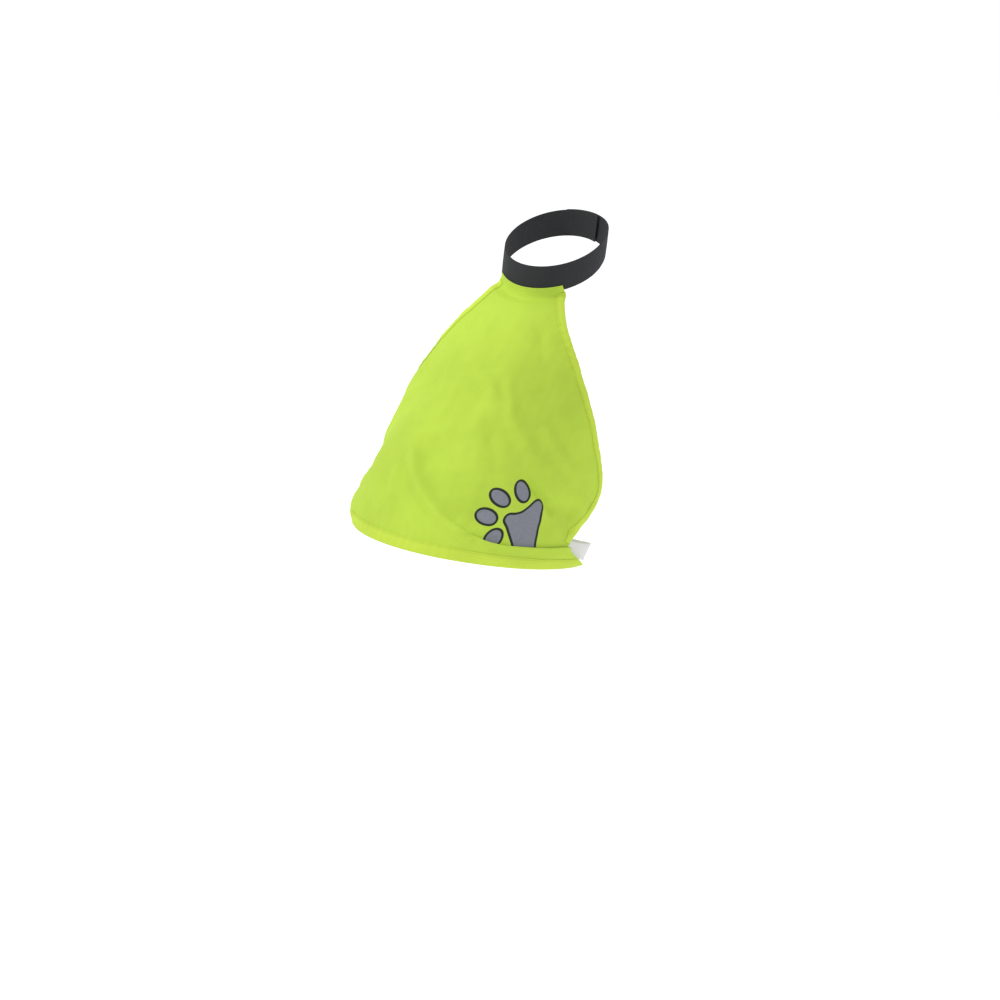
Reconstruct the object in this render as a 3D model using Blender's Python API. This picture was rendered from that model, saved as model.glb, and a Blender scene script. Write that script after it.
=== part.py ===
"""Dog safety vest: a high-visibility cloth panel over the wearer's back, with bound side and
hem edges, a dark neck strap and a white elastic belly strap that closes with touch fastener.

The vest keeps the hollow form it has when worn. Metres, +X to the wearer's right, +Y towards
the head, +Z up. The origin lies on the spine line, on the inner face of the neck strap's
lower edge, where the shoulders hold the vest.
"""

import bisect
import functools
import math
from collections import namedtuple

import bmesh
import bpy
from mathutils import Vector

# Cloth and tape thicknesses, the gap kept at every seam, and a little more room where two
# curved pieces are divided into flats at different places.
WALL = 0.0012
TAPE_WALL = 0.0010
NECK_STRAP_WALL = 0.0015
BELLY_STRAP_WALL = 0.0012
HOOK_WALL = 0.0010
SEAM_GAP = 0.0003
FACET_ROOM = 0.0003

# The spine line, from neck to hem, seen from the side: its length and its slope at both ends.
BACK_LENGTH = 0.332
NECK_SLOPE = math.radians(25.0)
HEM_SLOPE = math.radians(48.0)

# The ovals that the cloth lies on are nearly level slices, tipped down towards the chest.
NECK_TIP = math.radians(-6.0)
HEM_TIP = math.radians(22.0)

# One row for each slice: its place down the spine line, the oval's half width and half depth,
# and how far the cloth reaches round the oval on the right and on the left of the spine.
Slice = namedtuple("Slice", "down half_width half_depth right left")
SLICES = (
    Slice(0.00, 0.049, 0.067, 0.042, 0.042),
    Slice(0.15, 0.076, 0.089, 0.065, 0.063),
    Slice(0.38, 0.100, 0.125, 0.119, 0.117),
    Slice(0.62, 0.123, 0.149, 0.179, 0.179),
    Slice(0.80, 0.130, 0.146, 0.218, 0.217),
    Slice(0.93, 0.132, 0.143, 0.182, 0.204),
    Slice(1.00, 0.126, 0.146, 0.234, 0.214),
)

# The tuck over the right flank. Across is the share of the cloth's reach on the right. Turn is
# how far the cloth folds over, under is the length of the layer in the middle of the fold,
# and fold is the place down the spine line of the fold's upper edge.
Tuck = namedtuple("Tuck", "across turn under fold")
TUCK = (
    Tuck(0.02, 0, 0.0020, 0.845),
    Tuck(0.14, 22, 0.0020, 0.878),
    Tuck(0.26, 62, 0.0020, 0.905),
    Tuck(0.36, 112, 0.0026, 0.921),
    Tuck(0.46, 160, 0.0045, 0.930),
    Tuck(0.56, 178, 0.0060, 0.933),
    Tuck(1.00, 178, 0.0060, 0.933),
)
TURN_RADIUS = 0.00085
TURN_LENGTH = math.pi * TURN_RADIUS
FLAP_FALL = 0.55

# The largest soft folds. Height is outwards, a hollow is negative, and the route is given as
# (place down the spine line, share of the reach; the left of the spine is negative).
Fold = namedtuple("Fold", "height width route")
SOFT_FOLDS = (
    Fold(0.0040, 0.013, ((0.62, -0.30), (0.72, -0.18), (0.82, -0.01), (0.89, 0.18), (0.92, 0.34))),
    Fold(-0.0045, 0.019, ((0.60, -0.14), (0.72, 0.02), (0.82, 0.19), (0.88, 0.36))),
    Fold(-0.0030, 0.010, ((0.69, 0.44), (0.77, 0.56), (0.81, 0.70), (0.84, 0.86))),
    Fold(0.0022, 0.012, ((0.35, 0.02), (0.50, 0.34), (0.62, 0.50), (0.72, 0.60))),
    Fold(-0.0046, 0.024, ((0.40, -0.42), (0.56, -0.58), (0.70, -0.68), (0.87, -0.76))),
    Fold(0.0048, 0.012, ((0.91, -0.88), (0.95, -0.72), (0.965, -0.56))),
)
ROUTE_STEPS = 10
FOLD_END_FADE = 0.030
FOLD_END_START = 0.006
EDGE_STEP = 0.002

# Binding tape, folded round the panel's edges.
SIDE_TAPE_WIDTH = 0.008
HEM_TAPE_WIDTH = 0.012
TAPE_END_GAP = 0.0040
TAPE_STEP = 0.0025
TAPE_TURN = WALL / 2 + SEAM_GAP + FACET_ROOM + TAPE_WALL / 2
TAPE_TURN_STEPS = 4

# Neck strap: a flat band sewn under the panel's neck edge and closed at the throat.
NECK_STRAP_WIDTH = 0.030
NECK_STRAP_RISE = math.radians(76.0)
NECK_LAP = 0.006
NECK_BLEND = 0.018
NECK_OVERLAP = math.radians(22.0)
NECK_STEP_START = math.radians(100.0)
NECK_STEP_END = math.radians(150.0)

# Belly strap: elastic from the waist corners round the belly, closed under it.
BELLY_STRAP_WIDTH = 0.020
BELLY_DROP = math.tan(math.radians(8.0))
BELLY_LEVEL = 0.945
BELLY_REACH = 0.184
BELLY_LAP = 0.024
BELLY_INSET = TAPE_TURN + TAPE_WALL / 2 + SEAM_GAP + FACET_ROOM + BELLY_STRAP_WALL / 2
BELLY_OVERLAP = math.radians(12.0)
BELLY_STEP_START = math.radians(120.0)
BELLY_STEP_END = math.radians(155.0)

HOOK_WIDTH_SHARE = 0.8
HOOK_SPAN_SHARE = 0.8

# How finely the cloth is divided.
SPINE_COLUMNS = 14
TUCK_COLUMNS = 15
SIDE_COLUMNS = 6
EDGE_COLUMNS = 2
NECK_ROWS = 8
UPPER_ROWS = 20
EDGE_ROWS = 6
TURN_ROWS = 4
UNDER_ROWS = 2
FLAP_ROWS = 6
HEM_ROWS = 2
STRAP_STATIONS = 60
HOOK_STATIONS = 8

NEON = (0.48, 0.71, 0.06, 1.0)
NEON_TAPE = (0.53, 0.76, 0.08, 1.0)
DARK_STRAP = (0.035, 0.036, 0.038, 1.0)
WHITE_STRAP = (0.80, 0.80, 0.78, 1.0)
HOOK_GREY = (0.60, 0.60, 0.59, 1.0)


def smoothstep(share):
    """Eases from 0 to 1, and stays there outside that range."""
    share = min(1.0, max(0.0, share))
    return share * share * (3.0 - 2.0 * share)


def smooth_curve(places, values):
    """A cubic through the values that makes no humps of its own between them."""
    steps = [after - before for before, after in zip(places, places[1:])]
    rates = [(after - before) / step for before, after, step in zip(values, values[1:], steps)]
    slopes = [rates[0]]
    for index in range(1, len(rates)):
        before, after = rates[index - 1], rates[index]
        if before * after <= 0.0:
            slopes.append(0.0)
            continue
        near = 2.0 * steps[index] + steps[index - 1]
        far = steps[index] + 2.0 * steps[index - 1]
        slopes.append((near + far) / (near / before + far / after))
    slopes.append(rates[-1])

    def curve(place):
        place = min(places[-1], max(places[0], place))
        index = max(i for i in range(len(steps)) if i == 0 or places[i] <= place)
        t = (place - places[index]) / steps[index]
        start = (1 + 2 * t) * (1 - t) ** 2 * values[index] + t * (1 - t) ** 2 * steps[index] * slopes[index]
        end = t * t * (3 - 2 * t) * values[index + 1] - t * t * (1 - t) * steps[index] * slopes[index + 1]
        return start + end

    return curve


def column_curve(table, key, column):
    """A smooth curve through one named column of a table."""
    places = [getattr(row, key) for row in table]
    return smooth_curve(places, [getattr(row, column) for row in table])


HALF_WIDTH = column_curve(SLICES, "down", "half_width")
HALF_DEPTH = column_curve(SLICES, "down", "half_depth")
REACH_RIGHT = column_curve(SLICES, "down", "right")
REACH_LEFT = column_curve(SLICES, "down", "left")
TUCK_TURN = column_curve(TUCK, "across", "turn")
TUCK_UNDER = column_curve(TUCK, "across", "under")
TUCK_FOLD = column_curve(TUCK, "across", "fold")


def reach(down, across):
    """How far the cloth goes round its oval on the side that across names."""
    return REACH_RIGHT(down) if across >= 0 else REACH_LEFT(down)


def spine_point(down):
    """The spine line bends evenly from its neck slope to its hem slope."""
    bend = HEM_SLOPE - NECK_SLOPE
    slope = NECK_SLOPE + bend * down
    back = BACK_LENGTH * (math.sin(slope) - math.sin(NECK_SLOPE)) / bend
    drop = BACK_LENGTH * (math.cos(NECK_SLOPE) - math.cos(slope)) / bend
    return Vector((0.0, -back, -drop))


def tip(down):
    return NECK_TIP + (HEM_TIP - NECK_TIP) * down


@functools.lru_cache(maxsize=None)
def oval_table(down):
    """Angles round the oval and the arc length up to each."""
    steps = 180
    wide, deep = HALF_WIDTH(down), HALF_DEPTH(down)
    angles, lengths = [0.0], [0.0]
    for index in range(steps):
        middle = math.pi * (index + 0.5) / steps
        angles.append(math.pi * (index + 1) / steps)
        run = math.hypot(wide * math.cos(middle), deep * math.sin(middle))
        lengths.append(lengths[-1] + run * math.pi / steps)
    return angles, lengths


def oval_angle(down, arc):
    """The angle round the oval at a signed arc length from the spine, past the chest too."""
    angles, lengths = oval_table(down)
    length = abs(arc)
    past_chest = length > lengths[-1]
    if past_chest:
        length = 2.0 * lengths[-1] - length
    index = min(bisect.bisect_right(lengths, length), len(lengths) - 1)
    share = (length - lengths[index - 1]) / (lengths[index] - lengths[index - 1])
    angle = angles[index - 1] + share * (angles[index] - angles[index - 1])
    if past_chest:
        angle = 2.0 * math.pi - angle
    return math.copysign(angle, arc)


def oval_arc(down, angle):
    """The signed arc length from the spine to an angle round the oval."""
    lengths = oval_table(down)[1]
    turn = abs(angle)
    past_chest = turn > math.pi
    if past_chest:
        turn = 2.0 * math.pi - turn
    place = turn / math.pi * (len(lengths) - 1)
    index = min(int(place), len(lengths) - 2)
    length = lengths[index] + (place - index) * (lengths[index + 1] - lengths[index])
    if past_chest:
        length = 2.0 * lengths[-1] - length
    return math.copysign(length, angle)


def oval_point(down, angle):
    """A point on the slice at this place down the spine line."""
    side = HALF_WIDTH(down) * math.sin(angle)
    depth = HALF_DEPTH(down) * (1.0 - math.cos(angle))
    forward = Vector((0.0, math.cos(tip(down)), -math.sin(tip(down))))
    return spine_point(down) + forward * depth + Vector((side, 0.0, 0.0))


STRAP_DOWN = NECK_LAP / BACK_LENGTH
STRAP_UP = Vector((0.0, math.cos(NECK_STRAP_RISE), math.sin(NECK_STRAP_RISE)))


def neck_band_point(angle, rise, lift):
    """The neck strap's middle surface: a band rising from its ring, lifted outwards."""
    step = math.radians(0.1)
    base = oval_point(STRAP_DOWN, angle)
    along = oval_point(STRAP_DOWN, angle + step) - oval_point(STRAP_DOWN, angle - step)
    outward = along.cross(STRAP_UP).normalized()
    return base + STRAP_UP * rise + outward * lift


HELD_POINT = neck_band_point(0.0, 0.0, -NECK_STRAP_WALL / 2)


def form_point(run, arc):
    """The plain worn form, by lengths down the spine and round from it.

    Near the neck the cloth turns up and lies on the strap.
    """
    down = run / BACK_LENGTH
    plain = oval_point(down, oval_angle(down, arc))
    if run >= NECK_LAP + NECK_BLEND:
        return plain
    lift = NECK_STRAP_WALL / 2 + SEAM_GAP + WALL / 2
    lapped = neck_band_point(oval_angle(STRAP_DOWN, arc), NECK_LAP - run, lift)
    return lapped.lerp(plain, smoothstep((run - NECK_LAP) / NECK_BLEND))


SURFACE_STEP = 0.0004


def form_slopes(run, arc):
    """How the form's point moves for each metre down the cloth and for each metre round."""
    downward = form_point(run + SURFACE_STEP, arc) - form_point(run - SURFACE_STEP, arc)
    sideways = form_point(run, arc + SURFACE_STEP) - form_point(run, arc - SURFACE_STEP)
    return downward / (2 * SURFACE_STEP), sideways / (2 * SURFACE_STEP)


def form_normal(run, arc):
    downward, sideways = form_slopes(run, arc)
    return downward.cross(sideways).normalized()


def moved_on_form(run, arc, direction, distance):
    """The place on the form that lies this distance away in a direction along the surface."""
    downward, sideways = form_slopes(run, arc)
    dd, ds, ss = downward.dot(downward), downward.dot(sideways), sideways.dot(sideways)
    wanted_down = direction.dot(downward) * distance
    wanted_side = direction.dot(sideways) * distance
    whole = dd * ss - ds * ds
    more_run = (ss * wanted_down - ds * wanted_side) / whole
    more_arc = (dd * wanted_side - ds * wanted_down) / whole
    return run + more_run, arc + more_arc


@functools.lru_cache(maxsize=None)
def fold_line(route):
    """A smooth line through a fold's route, on the cloth laid flat."""
    numbers = list(range(len(route)))
    downs = smooth_curve(numbers, [place[0] for place in route])
    shares = smooth_curve(numbers, [place[1] for place in route])
    line = []
    for index in range(ROUTE_STEPS * (len(route) - 1) + 1):
        down, share = downs(index / ROUTE_STEPS), shares(index / ROUTE_STEPS)
        line.append((down * BACK_LENGTH, share * reach(down, share)))
    return line


def soft_height(run, arc):
    """The height of all soft folds at one place. Each fades out at its ends."""
    height = 0.0
    for fold in SOFT_FOLDS:
        line = fold_line(fold.route)
        gaps = [math.hypot(run - point[0], arc - point[1]) for point in line]
        nearest = min(range(len(line)), key=lambda index: gaps[index])
        if gaps[nearest] > 3.0 * fold.width:
            continue
        spacing = math.dist(line[0], line[-1]) / (len(line) - 1)
        from_end = min(nearest, len(line) - 1 - nearest) * spacing
        fade = smoothstep((from_end + FOLD_END_START) / FOLD_END_FADE)
        height += fold.height * fade * math.exp(-((gaps[nearest] / fold.width) ** 2))
    return height


def turned(length, angle):
    """How far a strip of this length reaches along and rises when it bends through angle."""
    if abs(angle) < 1e-6:
        return length, 0.0
    return length * math.sin(angle) / angle, length * (1.0 - math.cos(angle)) / angle


Section = namedtuple("Section", "angle under turn_run turn_rise top upper_end flap_start")


def tuck_section(across):
    """The tuck's sizes at one share of the cloth's reach."""
    angle = math.radians(TUCK_TURN(across))
    under = TUCK_UNDER(across)
    turn_run, turn_rise = turned(TURN_LENGTH, angle)
    top = 2.0 * turn_rise + under * math.sin(angle)
    flap_start = TUCK_FOLD(across) * BACK_LENGTH + TURN_RADIUS
    upper_end = flap_start - 2.0 * turn_run - under * math.cos(angle)
    return Section(angle, under, turn_run, turn_rise, top, upper_end, flap_start)


def flap_height(section, run):
    """The outer layer stands over the folded ones and falls back in below them."""
    past_under = section.flap_start + section.under + 2 * TURN_RADIUS
    fall = smoothstep((run - past_under) / (BACK_LENGTH - section.flap_start))
    return section.top * (1.0 - FLAP_FALL * fall)


def hem_run(across, inward):
    """How far down the cloth lies the place this far in from the hem."""
    downward, sideways = form_slopes(BACK_LENGTH, across * reach(1.0, across))
    spread = downward.cross(sideways).length / sideways.length
    return BACK_LENGTH - inward / spread


def tuck_place(zone, part, across):
    """Run down the form and height over it, for one place in a zone of the cloth.

    The zones follow each other down the cloth: upper, low_turn, under, top_turn, flap and hem.
    Part is a share of the zone. In the hem zone it is a share of the hem tape's width.
    """
    section = tuck_section(across)
    angle = section.angle
    if zone == "upper":
        return part * section.upper_end, 0.0
    if zone == "low_turn":
        run, rise = turned(TURN_LENGTH * part, angle * part)
        return section.upper_end + run, rise
    if zone == "under":
        run = section.upper_end + section.turn_run + part * section.under * math.cos(angle)
        return run, section.turn_rise + part * section.under * math.sin(angle)
    if zone == "top_turn":
        run, rise = turned(TURN_LENGTH * (1.0 - part), angle * (1.0 - part))
        return section.flap_start - run, section.top - rise
    if zone == "flap":
        run = section.flap_start + part * (hem_run(across, HEM_TAPE_WIDTH) - section.flap_start)
    else:
        run = hem_run(across, HEM_TAPE_WIDTH * (1.0 - part))
    return run, flap_height(section, run)


def laid_point(run, arc, height):
    return form_point(run, arc) + form_normal(run, arc) * height


def cloth_point(zone, part, across):
    """A point of the panel's middle surface."""
    run, height = tuck_place(zone, part, across)
    arc = across * reach(run / BACK_LENGTH, across)
    return laid_point(run, arc, height + soft_height(run, arc))


def cloth_material(name, colour, roughness):
    material = bpy.data.materials.new(name)
    material.use_nodes = True
    shader = material.node_tree.nodes["Principled BSDF"]
    shader.inputs["Base Color"].default_value = colour
    shader.inputs["Roughness"].default_value = roughness
    shader.inputs["Metallic"].default_value = 0.0
    material.diffuse_color = colour
    return material


def add_wall(name, columns, rows, place, wall, material):
    """A wall laid on a grid, where place gives the middle surface at a column and a row."""
    mesh = bpy.data.meshes.new(name)
    grid = bmesh.new()
    bmesh.ops.create_grid(grid, x_segments=len(columns) - 1, y_segments=len(rows) - 1, size=1.0)
    grid.verts.ensure_lookup_table()
    for index, vert in enumerate(grid.verts):
        row, column = divmod(index, len(columns))
        vert.co = place(columns[column], rows[row]) - HELD_POINT
    grid.to_mesh(mesh)
    grid.free()
    mesh.shade_smooth()
    mesh.materials.append(material)
    item = bpy.data.objects.new(name, mesh)
    bpy.context.scene.collection.objects.link(item)
    solidify = item.modifiers.new("Wall", "SOLIDIFY")
    solidify.thickness = wall
    solidify.offset = 0.0
    return item


def spaced(low, high, count):
    """Count steps from low to high, without the first value."""
    return [low + (high - low) * (index + 1) / count for index in range(count)]


TUCK_START, TUCK_END, SIDE_SHARE = 0.0, 0.60, 0.92
COLUMNS = (
    [-1.0]
    + spaced(-1.0, -SIDE_SHARE, EDGE_COLUMNS)
    + spaced(-SIDE_SHARE, TUCK_START, SPINE_COLUMNS)
    + spaced(TUCK_START, TUCK_END, TUCK_COLUMNS)
    + spaced(TUCK_END, SIDE_SHARE, SIDE_COLUMNS)
    + spaced(SIDE_SHARE, 1.0, EDGE_COLUMNS)
)
NECK_SHARE, EDGE_SHARE = 0.11, 0.88
ROWS = (
    [("upper", 0.0)]
    + [("upper", part) for part in spaced(0.0, NECK_SHARE, NECK_ROWS)]
    + [("upper", part) for part in spaced(NECK_SHARE, EDGE_SHARE, UPPER_ROWS)]
    + [("upper", part) for part in spaced(EDGE_SHARE, 1.0, EDGE_ROWS)]
    + [("low_turn", part) for part in spaced(0.0, 1.0, TURN_ROWS)]
    + [("under", part) for part in spaced(0.0, 1.0, UNDER_ROWS)]
    + [("top_turn", part) for part in spaced(0.0, 1.0, TURN_ROWS)]
    + [("flap", part) for part in spaced(0.0, 1.0, FLAP_ROWS)]
    + [("hem", part) for part in spaced(0.0, 1.0, HEM_ROWS)]
)


def tape_profile(width):
    """The tape's middle line: in from the edge, and height over the panel's middle."""
    flat = [width - width * row / HEM_ROWS for row in range(HEM_ROWS)]
    profile = [(inward, TAPE_TURN) for inward in flat]
    for index in range(TAPE_TURN_STEPS + 1):
        angle = math.pi * index / TAPE_TURN_STEPS
        profile.append((-TAPE_TURN * math.sin(angle), TAPE_TURN * math.cos(angle)))
    return profile + [(inward, -TAPE_TURN) for inward in reversed(flat)]


def add_panel(material):
    def place(across, row):
        zone, part = row
        return cloth_point(zone, part, across)

    return add_wall("back_panel", COLUMNS, ROWS, place, WALL, material)


def add_side_tape(name, across, first_run, last_run, material):
    """Tape round one side edge, square to the edge, between two lengths down the cloth."""
    runs = [tuck_place(zone, part, across)[0] for zone, part in ROWS]
    stations = [run for run in runs if first_run < run < last_run - TAPE_STEP] + [last_run]

    def edge_place(run):
        return run, across * reach(run / BACK_LENGTH, across)

    def place(run, point):
        inward, lift = point
        along = form_point(*edge_place(run + EDGE_STEP)) - form_point(*edge_place(run - EDGE_STEP))
        inner = along.normalized().cross(form_normal(*edge_place(run))) * across
        tape_run, arc = moved_on_form(*edge_place(run), inner, inward)
        return laid_point(tape_run, arc, soft_height(tape_run, arc) + lift)

    return add_wall(name, stations, tape_profile(SIDE_TAPE_WIDTH), place, TAPE_WALL, material)


def add_hem_tape(material):
    """Tape round the hem. Its ends are cut in line with the side edges."""

    def place(across, point):
        inward, lift = point
        run = hem_run(across, inward)
        arc = across * reach(run / BACK_LENGTH, across)
        height = flap_height(tuck_section(across), run) + soft_height(run, arc)
        return laid_point(run, arc, height + lift)

    return add_wall("hem_binding", COLUMNS, tape_profile(HEM_TAPE_WIDTH), place, TAPE_WALL, material)


def strap_rows(width):
    return [-width / 2, 0.0, width / 2]


def hook_angles(overlap):
    """Stations of a hook patch, in the middle of a strap's overlap."""
    span = overlap * HOOK_SPAN_SHARE
    return [math.pi + span * (2.0 * index / HOOK_STATIONS - 1.0) for index in range(HOOK_STATIONS + 1)]


def add_neck_strap(strap_material, hook_material):
    """The strap goes once round the neck. Its outer end laps over the inner one."""
    lap_lift = NECK_STRAP_WALL + HOOK_WALL + 2 * SEAM_GAP
    start = -(math.pi + NECK_OVERLAP)
    end = math.pi + NECK_OVERLAP
    stations = [start + (end - start) * index / STRAP_STATIONS for index in range(STRAP_STATIONS + 1)]

    def place(angle, rise):
        step = smoothstep((angle - NECK_STEP_START) / (NECK_STEP_END - NECK_STEP_START))
        return neck_band_point(angle, NECK_STRAP_WIDTH / 2 + rise, lap_lift * step)

    rows = strap_rows(NECK_STRAP_WIDTH)
    add_wall("neck_strap", stations, rows, place, NECK_STRAP_WALL, strap_material)

    hook_rows = strap_rows(NECK_STRAP_WIDTH * HOOK_WIDTH_SHARE)

    def place_hook(angle, rise):
        return neck_band_point(angle, NECK_STRAP_WIDTH / 2 + rise, lap_lift / 2)

    add_wall("neck_hook_patch", hook_angles(NECK_OVERLAP), hook_rows, place_hook, HOOK_WALL, hook_material)


def belly_place(angle):
    """Run and arc of the belly strap's centre line, which drops towards the chest."""
    corner = oval_angle(BELLY_LEVEL, BELLY_REACH)
    depth = HALF_DEPTH(BELLY_LEVEL) * (math.cos(corner) - math.cos(angle))
    run = BELLY_LEVEL * BACK_LENGTH + depth * BELLY_DROP
    return run, oval_arc(run / BACK_LENGTH, angle)


def belly_band_point(angle, rise, lift):
    """A point on the belly strap, which lies against the inside of the form."""
    run, arc = belly_place(angle)
    step = math.radians(0.5)
    along = form_point(*belly_place(angle + step)) - form_point(*belly_place(angle - step))
    upward = along.normalized().cross(form_normal(run, arc))
    run, arc = moved_on_form(run, arc, upward, rise)
    return laid_point(run, arc, lift - BELLY_INSET)


def add_belly_straps(strap_material, hook_material):
    """Two straps from the waist corners. The left one's end lies inside the right one's."""
    lap_lift = BELLY_STRAP_WALL + HOOK_WALL + 2 * SEAM_GAP + FACET_ROOM
    start = oval_angle(BELLY_LEVEL, BELLY_REACH - BELLY_LAP)
    end = math.pi + BELLY_OVERLAP
    half = STRAP_STATIONS // 2
    shares = [index / half for index in range(half + 1)]
    rows = [BELLY_STRAP_WIDTH * share for share in (-0.5, -0.25, 0.0, 0.25, 0.5)]

    def place_right(share, rise):
        angle = start + (end - start) * share
        step = smoothstep((angle - BELLY_STEP_START) / (BELLY_STEP_END - BELLY_STEP_START))
        return belly_band_point(angle, rise, lap_lift * step)

    def place_left(share, rise):
        return belly_band_point(-start - (end - start) * share, rise, 0.0)

    add_wall("belly_strap_right", shares, rows, place_right, BELLY_STRAP_WALL, strap_material)
    add_wall("belly_strap_left", shares, rows, place_left, BELLY_STRAP_WALL, strap_material)

    hook_rows = strap_rows(BELLY_STRAP_WIDTH * HOOK_WIDTH_SHARE)

    def place_hook(angle, rise):
        return belly_band_point(angle, rise, lap_lift / 2)

    add_wall("belly_hook_patch", hook_angles(BELLY_OVERLAP), hook_rows, place_hook, HOOK_WALL, hook_material)


def main():
    for item in list(bpy.data.objects):
        bpy.data.objects.remove(item)
    neon = cloth_material("neon_cloth", NEON, 0.75)
    tape = cloth_material("neon_tape", NEON_TAPE, 0.70)
    dark = cloth_material("dark_webbing", DARK_STRAP, 0.80)
    white = cloth_material("white_elastic", WHITE_STRAP, 0.80)
    hook = cloth_material("hook_tape", HOOK_GREY, 0.85)

    add_panel(neon)
    tape_start = NECK_LAP + TAPE_END_GAP
    above_fold = TUCK_FOLD(1.0) * BACK_LENGTH - WALL - TAPE_END_GAP
    above_hem = hem_run(-1.0, HEM_TAPE_WIDTH) - TAPE_END_GAP
    add_side_tape("side_binding_right", 1.0, tape_start, above_fold, tape)
    add_side_tape("side_binding_left", -1.0, tape_start, above_hem, tape)
    add_hem_tape(tape)
    add_neck_strap(dark, hook)
    add_belly_straps(white, hook)


main()
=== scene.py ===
"""Looks of the dog safety vest: its cloth, binding tapes, straps, stitching and studio.

Every piece is laid on the worn form of the vest. A place on that form is a run, the length
down the spine line from the neck edge, and an arc, the signed length round the back from the
spine line, positive on the vest's right side. Metres throughout.
"""

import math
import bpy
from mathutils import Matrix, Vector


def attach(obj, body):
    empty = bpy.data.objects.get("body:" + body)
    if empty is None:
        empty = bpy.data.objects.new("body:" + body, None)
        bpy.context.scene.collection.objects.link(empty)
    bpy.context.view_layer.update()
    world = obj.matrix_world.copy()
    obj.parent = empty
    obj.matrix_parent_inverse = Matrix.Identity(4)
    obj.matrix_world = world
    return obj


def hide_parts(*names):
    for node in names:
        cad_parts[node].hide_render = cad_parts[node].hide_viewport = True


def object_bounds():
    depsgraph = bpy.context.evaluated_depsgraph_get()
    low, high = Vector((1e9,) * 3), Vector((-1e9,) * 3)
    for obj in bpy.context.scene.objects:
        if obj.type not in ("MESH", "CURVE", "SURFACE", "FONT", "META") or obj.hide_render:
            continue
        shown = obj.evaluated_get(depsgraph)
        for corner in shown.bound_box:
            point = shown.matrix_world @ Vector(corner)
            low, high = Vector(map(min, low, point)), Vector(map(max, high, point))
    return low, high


bl_info = {
    "name": "Dog safety vest",
    "version": (1, 0, 0),
    "blender": (4, 5, 0),
    "location": "3D View > Sidebar > Vest",
    "description": "Makes the cloth, tapes, straps, stitching and studio of a worn dog safety vest",
    "category": "Object",
}

from collections import namedtuple
from functools import partial

import bmesh
import bpy
import numpy as np
from bpy.props import FloatProperty, FloatVectorProperty, PointerProperty
from mathutils import Matrix, Vector

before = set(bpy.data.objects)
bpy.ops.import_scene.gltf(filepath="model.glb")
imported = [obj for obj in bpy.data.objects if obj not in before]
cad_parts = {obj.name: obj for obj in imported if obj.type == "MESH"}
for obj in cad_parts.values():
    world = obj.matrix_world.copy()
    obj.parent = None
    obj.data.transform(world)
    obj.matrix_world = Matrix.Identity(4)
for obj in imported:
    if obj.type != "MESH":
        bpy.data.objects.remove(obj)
CAD_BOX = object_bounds()
BODY = "root"

# The worn form: the spine line and the ovals that the cloth lies on.
BACK_LENGTH = 0.332
NECK_SLOPE = math.radians(25.0)
HEM_SLOPE = math.radians(48.0)
NECK_TIP = math.radians(-6.0)
HEM_TIP = math.radians(22.0)

Slice = namedtuple("Slice", "down half_width half_depth right left")
SLICES = (
    Slice(0.00, 0.049, 0.067, 0.042, 0.042),
    Slice(0.15, 0.076, 0.089, 0.065, 0.063),
    Slice(0.38, 0.100, 0.125, 0.119, 0.117),
    Slice(0.62, 0.123, 0.149, 0.179, 0.179),
    Slice(0.80, 0.130, 0.146, 0.218, 0.217),
    Slice(0.93, 0.132, 0.143, 0.182, 0.204),
    Slice(1.00, 0.126, 0.146, 0.234, 0.214),
)

# The tuck over the right flank, by share of the cloth's reach: how far the cloth folds over in
# degrees, the length of the layer inside the fold, and where the fold's upper edge lies.
Tuck = namedtuple("Tuck", "across turn under fold")
TUCK = (
    Tuck(0.02, 0, 0.0020, 0.845),
    Tuck(0.14, 22, 0.0020, 0.878),
    Tuck(0.26, 62, 0.0020, 0.905),
    Tuck(0.36, 112, 0.0026, 0.921),
    Tuck(0.46, 160, 0.0045, 0.930),
    Tuck(0.56, 178, 0.0060, 0.933),
    Tuck(1.00, 178, 0.0060, 0.933),
)
TURN_RADIUS = 0.00085
TURN_LENGTH = math.pi * TURN_RADIUS
FLAP_FALL = 0.55

# Creases, largest first. Height is outwards, a trough is negative, and the route is given as
# (place down the spine line, share of the reach; the left of the spine is negative).
Crease = namedtuple("Crease", "height width route")
MAIN_CREASES = (
    Crease(0.0040, 0.013, ((0.62, -0.30), (0.72, -0.18), (0.82, -0.01), (0.89, 0.18), (0.92, 0.34))),
    Crease(-0.0045, 0.019, ((0.60, -0.14), (0.72, 0.02), (0.82, 0.19), (0.88, 0.36))),
    Crease(-0.0030, 0.010, ((0.69, 0.44), (0.77, 0.56), (0.81, 0.70), (0.84, 0.86))),
    Crease(0.0022, 0.012, ((0.35, 0.02), (0.50, 0.34), (0.62, 0.50), (0.72, 0.60))),
    Crease(-0.0046, 0.024, ((0.40, -0.42), (0.56, -0.58), (0.70, -0.68), (0.87, -0.76))),
    Crease(0.0048, 0.012, ((0.91, -0.88), (0.95, -0.72), (0.965, -0.56))),
)
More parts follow.
